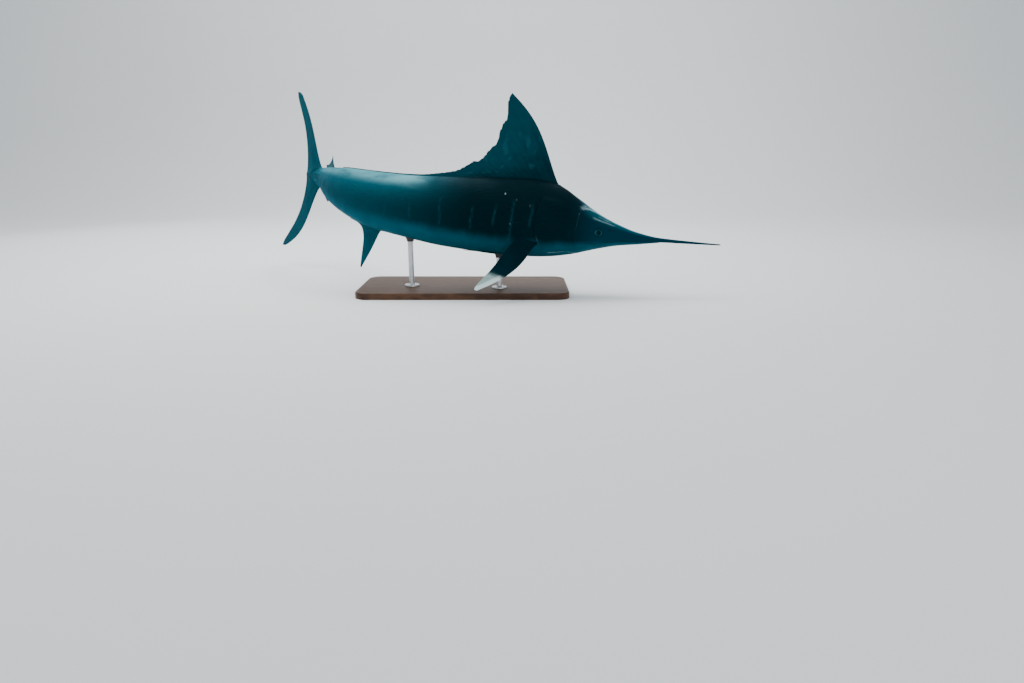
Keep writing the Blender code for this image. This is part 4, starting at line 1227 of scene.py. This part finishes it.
def build_pectorals(look):
    """The long pectoral fins: the right one reaches out and down, the left one is swept back."""
    s, angle = PECTORAL_S, math.radians(PECTORAL_ANGLE)
    y, z = section(s, angle)
    directions = np.array(spine_at(s)[1:])
    material = fin_material(
        "pectoral_fin_skin", look, 18, 9.0, look.fin_colour, look.fin_light_colour, look.sunlit_tip_start,
    )
    for side, name, outward, rootward in PECTORAL_WAYS:
        root = fish(s, side * y, z)
        way = unit(np.array(outward) @ directions)
        chord = unit(np.array(rootward) @ directions)
        chord = unit(chord - way * np.dot(chord, way))
        thick = np.cross(way, chord)
        out = skin_frame(s, side * angle)[1]

        def place(a, b, c, root=root, way=way, chord=chord, thick=thick):
            return root + np.outer(a, way) + np.outer(b, chord) + np.outer(c, thick)

        # The height over the side, which curves away from the fin's root.
        def height(a, b, rise=(float(np.dot(way, out)), float(np.dot(chord, out)))):
            over = a * rise[0] + b * rise[1]
            return over + np.maximum(a * a + b * b - over * over, 0.0) / 0.22

        build_fin(
            "marlin_" + name, material, (name,), place, between(PECTORAL_ROOT), between(PECTORAL_EDGE),
            leading_bow(-0.100), tapered(0.0062, 0.0022, 0.0006), rays=18, relief=0.0009, size=(18 * 9, 66),
            round_lead=0.05, flare=(0.0090, 0.011), height=height,
            mark=lambda a, b: (a - SHADOW_EDGE_SLANT * b) / PECTORAL_LENGTH,
        )


def build_pelvics(look):
    """The thin, ribbon-like pelvic fins, folded back along the belly."""
    material = fin_material("pelvic_fin_skin", look, 3, 9.0, look.fin_colour, look.fin_light_colour)
    for side, name in ((-1, "pelvic_fin_right"), (1, "pelvic_fin_left")):
        def place(a, b, c, side=side):
            return fish(a, side * (0.021 + 0.04 * (a - 0.64)) + side * c, b)

        build_fin(
            "marlin_" + name, material, (name,), place, between(PELVIC_ROOT), between(PELVIC_EDGE),
            leading_bow(0.0), tapered(0.0020, 0.0012, 0.0005), rays=3, relief=0.0005, size=(30, 60),
            round_lead=0.08,
        )


# The stand.


def turned_piece(name, profile, place, material, sides):
    """A piece turned round an upright axis from (radius, height) pairs, closed at both ends."""
    work = bmesh.new()
    verts = [work.verts.new((radius, 0.0, height)) for radius, height in profile]
    edges = [work.edges.new(pair) for pair in zip(verts[:-1], verts[1:])]
    bmesh.ops.spin(
        work, geom=verts + edges, cent=(0, 0, 0), axis=(0, 0, 1), angle=2 * math.pi, steps=sides,
        use_merge=True,
    )
    bmesh.ops.remove_doubles(work, verts=work.verts[:], dist=1e-6)
    bmesh.ops.recalc_face_normals(work, faces=work.faces[:])
    bmesh.ops.translate(work, vec=place, verts=work.verts[:])
    return new_piece(name, meshed(name, work, 40), material)


def build_plinth(material):
    """A flat board with round corners, a moulded upper edge and a shadow line near its foot."""
    work = bmesh.new()
    bmesh.ops.create_cube(work, size=1.0)
    bmesh.ops.scale(work, vec=PLINTH, verts=work.verts[:])
    bmesh.ops.translate(work, vec=(0, 0, PLINTH[2] / 2), verts=work.verts[:])
    upright = [e for e in work.edges if abs(e.verts[0].co.z - e.verts[1].co.z) > 0.01]
    rounding = {"profile": 0.5, "affect": "EDGES", "material": -1}
    bmesh.ops.bevel(work, geom=upright, offset=PLINTH_CORNER, segments=20, **rounding)
    top = max(work.faces, key=lambda f: f.calc_center_median().z)
    bmesh.ops.bevel(work, geom=list(top.edges), offset=0.006, segments=5, **rounding)
    whole = work.verts[:] + work.edges[:] + work.faces[:]
    cut = bmesh.ops.bisect_plane(
        work, geom=whole, plane_co=(0, 0, GROOVE_HEIGHT), plane_no=(0, 0, 1),
    )["geom_cut"]
    line = [e for e in cut if isinstance(e, bmesh.types.BMEdge)]
    bmesh.ops.bevel(work, geom=line, offset=0.0014, segments=2, **rounding)
    groove = [v for v in work.verts if abs(v.co.z - GROOVE_HEIGHT) < 2e-4]
    for vert in groove:
        shrink = 1 - 0.0012 / max(0.2, math.hypot(vert.co.x, vert.co.y))
        vert.co.x *= shrink
        vert.co.y *= shrink
    bmesh.ops.recalc_face_normals(work, faces=work.faces[:])
    board = new_piece("plinth_board", meshed("plinth_board", work, 30), material)
    finished(board, "stand_wood", "stand_base")


def build_rods(look):
    """Two steel rods on screwed flanges, each ending in a rubber cup against the belly."""
    steel, rubber = steel_material(look), rubber_material(look)
    for node, s in zip(("stand_rod_front", "stand_rod_rear"), ROD_STATIONS):
        short = node.replace("stand_", "")
        belly = fish(s, 0.0, -float(smooth(DEPTH, s)))
        inside = fish(s, 0.0, -float(smooth(DEPTH, s)) + 0.03)
        foot = Vector((inside[0], inside[1], PLINTH[2]))
        top = belly[2] + 0.012 - foot.z
        shaft = ((ROD_RADIUS, top * 0.5), (ROD_RADIUS, top), (0.0, top))
        finished(turned_piece(short, FLANGE + shaft, foot, steel, 64), "stand_steel", node)
        collar = belly[2] - foot.z
        profile = [(ROD_RADIUS + out, collar + high) for out, high in CUP]
        finished(turned_piece(short + "_cup", profile, foot, rubber, 48), "stand_steel")
        for k in range(3):
            turn = math.radians(30 + 120 * k)
            spot = foot + Vector((SCREW_RING * math.cos(turn), SCREW_RING * math.sin(turn), SCREW_HEIGHT))
            finished(turned_piece(f"{short}_screw_{k + 1}", SCREW, spot, steel, 20), "stand_steel")


# The studio.


def build_stage(look):
    """A pale floor swept up into a backdrop, broad soft lights, and the camera where the photograph's was."""
    rows = 40
    work = bmesh.new()
    bmesh.ops.create_grid(work, x_segments=4, y_segments=rows, size=0.5)
    near, bend, radius, wide, high = -30.0, 3.4, 3.5, 70.0, 14.0
    for vert in work.verts:
        row = round((vert.co.y + 0.5) * rows)
        turn = math.pi / 2 * min(1.0, max(0.0, (row - 1) / (rows - 2)))
        place = [vert.co.x * wide, bend + radius * math.sin(turn), radius * (1 - math.cos(turn))]
        if row == 0:
            place[1] = near
        if row == rows:
            place[2] = high
        vert.co = place
    new_piece("studio_sweep", meshed("studio_sweep", work), stage_material(look))

    white = (1.0, 1.0, 1.0)
    for name, place, aim, size, watts, tint in (
        ("overhead_light", (-0.7, 0.9, 3.3), (-0.1, 0.1, 0.4), (3.6, 2.4), look.overhead_power, white),
        ("backdrop_light", (0.0, 2.2, 5.6), (0.0, 6.9, 1.6), (8.0, 1.5), look.backdrop_power, white),
        ("front_fill", (1.8, -4.2, 1.9), (0.0, 0.0, 0.4), (2.6, 2.0), look.fill_power, (0.96, 0.99, 1.0)),
        ("rear_fill", (-3.2, 2.4, 1.6), (-0.4, 0.3, 0.4), (1.6, 1.6), look.rear_power, (0.95, 0.99, 1.0)),
    ):
        light = bpy.data.lights.new(name, "AREA")
        light.shape = "RECTANGLE"
        light.size, light.size_y = size
        light.energy = watts
        light.color = tint
        lamp = bpy.data.objects.new(name, light)
        bpy.context.scene.collection.objects.link(lamp)
        lamp.location = place
        lamp.rotation_euler = (Vector(aim) - Vector(place)).to_track_quat("-Z", "Y").to_euler()

    world = bpy.data.worlds.new("studio_air")
    world.use_nodes = True
    world.node_tree.nodes["Background"].inputs["Color"].default_value = (0.90, 0.96, 1.0, 1.0)
    world.node_tree.nodes["Background"].inputs["Strength"].default_value = look.air_strength
    bpy.context.scene.world = world

    camera = bpy.data.cameras.new("photo_camera")
    camera.lens = CAMERA_LENS
    camera.sensor_width = 36.0
    camera.clip_end = 60.0
    eye = bpy.data.objects.new("photo_camera", camera)
    bpy.context.scene.collection.objects.link(eye)
    eye.location = CAMERA_PLACE
    eye.rotation_euler = (math.radians(90 - CAMERA_PITCH), 0.0, 0.0)
    bpy.context.scene.camera = eye


# What a user may change.


def colour(label, about, r, g, b):
    return FloatVectorProperty(
        name=label, description=about, subtype="COLOR", size=4, min=0.0, max=1.0, default=(r, g, b, 1.0),
    )


def share(label, about, value):
    return FloatProperty(name=label, description=about, subtype="FACTOR", min=0.0, max=1.0, default=value)


def power(label, about, watts):
    return FloatProperty(name=label, description=about, unit="POWER", min=0.0, default=watts)


class MarlinSkinLook(bpy.types.PropertyGroup):
    flank_colour: colour("Flank", "Back and flank behind the head", 0.0005, 0.0092, 0.0130)
    head_colour: colour("Head", "Head from the cheek forward, and bill", 0.0008, 0.0280, 0.0470)
    rear_colour: colour("Rear flank", "Flank toward the tail", 0.0008, 0.0560, 0.0800)
    # Painted light on the upper flank toward the tail and on the top of the head.
    lit_top_colour: colour("Upper rear", "Upper flank toward the tail", 0.0020, 0.1050, 0.1450)
    streak_colour: colour("Streaks", "Fine long streaks on the flank", 0.0008, 0.0160, 0.0220)
    belly_colour: colour("Belly", "Lower side below the dark flank", 0.0010, 0.0800, 0.1200)
    underside_colour: colour("Underside", "Middle of the belly", 0.0080, 0.1100, 0.1500)
    # Silver of the painted sheen of light on the rear back and of the painted highlight on the forehead
    # ridge.
    silver_and_sheen_colour: colour("Silver", "Sheen over the rear back and the forehead", 0.130, 0.330, 0.370)
    painted_sheen_strength: share("Sheen strength", "How strongly the rear back shines", 0.75)
    # Colour of the painted highlight streaks, partly the skin's own silver, and of the small pale specks.
    highlight_and_speck_colour: colour("Streak silver", "Streaks of the forehead, and scars", 0.36, 0.54, 0.58)
    bar_colour: colour("Bars", "Pale bars on the flank", 0.0100, 0.0700, 0.0950)
    bar_strength: share("Bar strength", "How strongly the bars show", 0.38)
    stalk_colour: colour("Tail stalk", "End of the stalk, where the tail fin starts", 0.0012, 0.0700, 0.1000)
    roughness: share("Roughness", "Roughness of the skin", 0.54)
    scale_relief: share("Scale relief", "How strongly the fine scales stand out", 0.35)


class MarlinFinLook(bpy.types.PropertyGroup):
    fin_colour: colour("Side fins", "Pectoral and pelvic fins", 0.0003, 0.0060, 0.0100)
    fin_light_colour: colour("Side fin highlights", "Rays of the side fins", 0.0010, 0.0190, 0.0300)
    dorsal_colour: colour("Dorsal fin", "The first dorsal fin", 0.0006, 0.0190, 0.0290)
    dorsal_light_colour: colour("Dorsal highlights", "Rays and tip of the dorsal fin", 0.0020, 0.0560, 0.0780)
    # Painted shade at a fin's root, where it leaves the body.
    fin_root_shade_colour: colour("Fin base", "Where a fin leaves the body", 0.0005, 0.0080, 0.0120)
    tail_colour: colour("Tail fin", "Both lobes of the tail fin, and the small fins", 0.0006, 0.0400, 0.0600)
    tail_light_colour: colour("Tail highlights", "Rays and worn places of the tail", 0.0030, 0.0900, 0.1250)
    blotch_colour: colour("Blotches", "Pale blotches on the dorsal fin", 0.015, 0.085, 0.110)
    # The pale tip is partly the fin's own colour and partly painted sunlight beyond the body's shadow.
    sunlit_pale_tip_colour: colour("Pale tip", "Outer third of the pectoral fins", 0.66, 0.82, 0.82)
    pale_shade_colour: colour("Pale tip shade", "Between the rays of the pale tip", 0.13, 0.25, 0.24)
    sunlit_tip_start: share("Pale tip start", "Share of the pectoral fin's length where it turns pale", 0.69)
    blotch_strength: share("Blotch strength", "How strongly the blotches show", 0.40)


class MarlinEyeLook(bpy.types.PropertyGroup):
    iris_colour: colour("Iris", "Ring of the eye", 0.0180, 0.1150, 0.1450)
    # It also gives the painted shade at the top and bottom of the ring.
    iris_dark_colour: colour("Iris fibres", "Darker fibres in the ring", 0.0020, 0.0250, 0.0360)
    pupil_colour: colour("Pupil", "Middle of the eye", 0.0002, 0.0090, 0.0150)
    socket_colour: colour("Socket", "Edge of the eyeball", 0.002, 0.010, 0.014)


class MarlinStandLook(bpy.types.PropertyGroup):
    wood_light_colour: colour("Wood", "Lighter bands of the grain", 0.115, 0.055, 0.028)
    wood_dark_colour: colour("Dark wood", "Darker bands of the grain", 0.045, 0.020, 0.011)
    wood_pore_colour: colour("Pores", "Pores of the wood", 0.012, 0.006, 0.004)
    steel_colour: colour("Steel", "Rods and flanges", 0.56, 0.57, 0.58)
    steel_dark_colour: colour("Steel shade", "Duller patches of the steel", 0.38, 0.39, 0.40)
    rubber_colour: colour("Rubber", "Cups under the belly", 0.012, 0.012, 0.013)
    rubber_worn_colour: colour("Worn rubber", "Dusty patches of the cups", 0.030, 0.030, 0.031)


class MarlinStageLook(bpy.types.PropertyGroup):
    floor_colour: colour("Floor", "Floor and backdrop", 0.80, 0.82, 0.83)
    floor_shade_colour: colour("Floor shade", "Faint unevenness of the floor", 0.75, 0.77, 0.78)
    overhead_power: power("Overhead light", "Power of the light above", 170.0)
    fill_power: power("Front fill", "Power of the light beside the camera", 34.0)
    backdrop_power: power("Backdrop light", "Power of the light on the backdrop", 260.0)
    rear_power: power("Rear fill", "Power of the light behind the tail", 14.0)
    air_strength: FloatProperty(name="Air", description="Light from all round", min=0.0, default=0.70)


class MARLIN_OT_skin(bpy.types.Operator):
    """Build the body with its skin, from bill to tail stalk"""
    bl_idname = "marlin.skin"
    bl_label = "Body Skin"

    def execute(self, context):
        build_skin(context.scene.marlin_skin)
        return {"FINISHED"}


class MARLIN_OT_eyes(bpy.types.Operator):
    """Build both eyes"""
    bl_idname = "marlin.eyes"
    bl_label = "Eyes"

    def execute(self, context):
        build_eyes(context.scene.marlin_eye)
        return {"FINISHED"}


class MARLIN_OT_dorsal_fin(bpy.types.Operator):
    """Build the raised first dorsal fin"""
    bl_idname = "marlin.dorsal_fin"
    bl_label = "First Dorsal Fin"

    def execute(self, context):
        build_dorsal(context.scene.marlin_fin)
        return {"FINISHED"}


class MARLIN_OT_small_fins(bpy.types.Operator):
    """Build the second dorsal fin and the anal fins"""
    bl_idname = "marlin.small_fins"
    bl_label = "Small Fins"

    def execute(self, context):
        build_small_fins(context.scene.marlin_fin)
        return {"FINISHED"}


class MARLIN_OT_tail_fin(bpy.types.Operator):
    """Build both lobes of the tail fin"""
    bl_idname = "marlin.tail_fin"
    bl_label = "Tail Fin"

    def execute(self, context):
        build_tail(context.scene.marlin_fin)
        return {"FINISHED"}


class MARLIN_OT_side_fins(bpy.types.Operator):
    """Build the pectoral and pelvic fins"""
    bl_idname = "marlin.side_fins"
    bl_label = "Pectoral and Pelvic Fins"

    def execute(self, context):
        build_pectorals(context.scene.marlin_fin)
        build_pelvics(context.scene.marlin_fin)
        return {"FINISHED"}


class MARLIN_OT_stand(bpy.types.Operator):
    """Build the wooden plinth with its rods, cups and screws"""
    bl_idname = "marlin.stand"
    bl_label = "Display Stand"

    def execute(self, context):
        look = context.scene.marlin_stand
        build_plinth(wood_material(look))
        build_rods(look)
        return {"FINISHED"}


class MARLIN_OT_stage(bpy.types.Operator):
    """Set up the floor, the backdrop, the lights and the camera"""
    bl_idname = "marlin.stage"
    bl_label = "Studio and Camera"

    def execute(self, context):
        build_stage(context.scene.marlin_stage)
        return {"FINISHED"}


LOOKS = (
    ("marlin_skin", MarlinSkinLook), ("marlin_fin", MarlinFinLook), ("marlin_eye", MarlinEyeLook),
    ("marlin_stand", MarlinStandLook), ("marlin_stage", MarlinStageLook),
)
OPERATORS = (
    MARLIN_OT_skin, MARLIN_OT_eyes, MARLIN_OT_dorsal_fin, MARLIN_OT_small_fins, MARLIN_OT_tail_fin,
    MARLIN_OT_side_fins, MARLIN_OT_stand, MARLIN_OT_stage,
)


class MARLIN_PT_panel(bpy.types.Panel):
    """Lists the model's pieces and their settings"""
    bl_idname = "MARLIN_PT_panel"
    bl_label = "Marlin Model"
    bl_space_type = "VIEW_3D"
    bl_region_type = "UI"
    bl_category = "Marlin"

    def draw(self, context):
        for name, group in LOOKS:
            box = self.layout.box()
            for key in group.__annotations__:
                box.prop(getattr(context.scene, name), key)
        for operator in OPERATORS:
            self.layout.operator(operator.bl_idname)


def register():
    for name, group in LOOKS:
        bpy.utils.register_class(group)
        setattr(bpy.types.Scene, name, PointerProperty(type=group))
    for operator in OPERATORS:
        bpy.utils.register_class(operator)
    bpy.utils.register_class(MARLIN_PT_panel)


def unregister():
    bpy.utils.unregister_class(MARLIN_PT_panel)
    for operator in reversed(OPERATORS):
        bpy.utils.unregister_class(operator)
    for name, group in reversed(LOOKS):
        delattr(bpy.types.Scene, name)
        bpy.utils.unregister_class(group)


def main():
    register()
    bpy.ops.marlin.skin()
    bpy.ops.marlin.eyes()
    bpy.ops.marlin.dorsal_fin()
    bpy.ops.marlin.small_fins()
    bpy.ops.marlin.tail_fin()
    bpy.ops.marlin.side_fins()
    bpy.ops.marlin.stand()
    bpy.ops.marlin.stage()


if __name__ == "__main__":
    main()
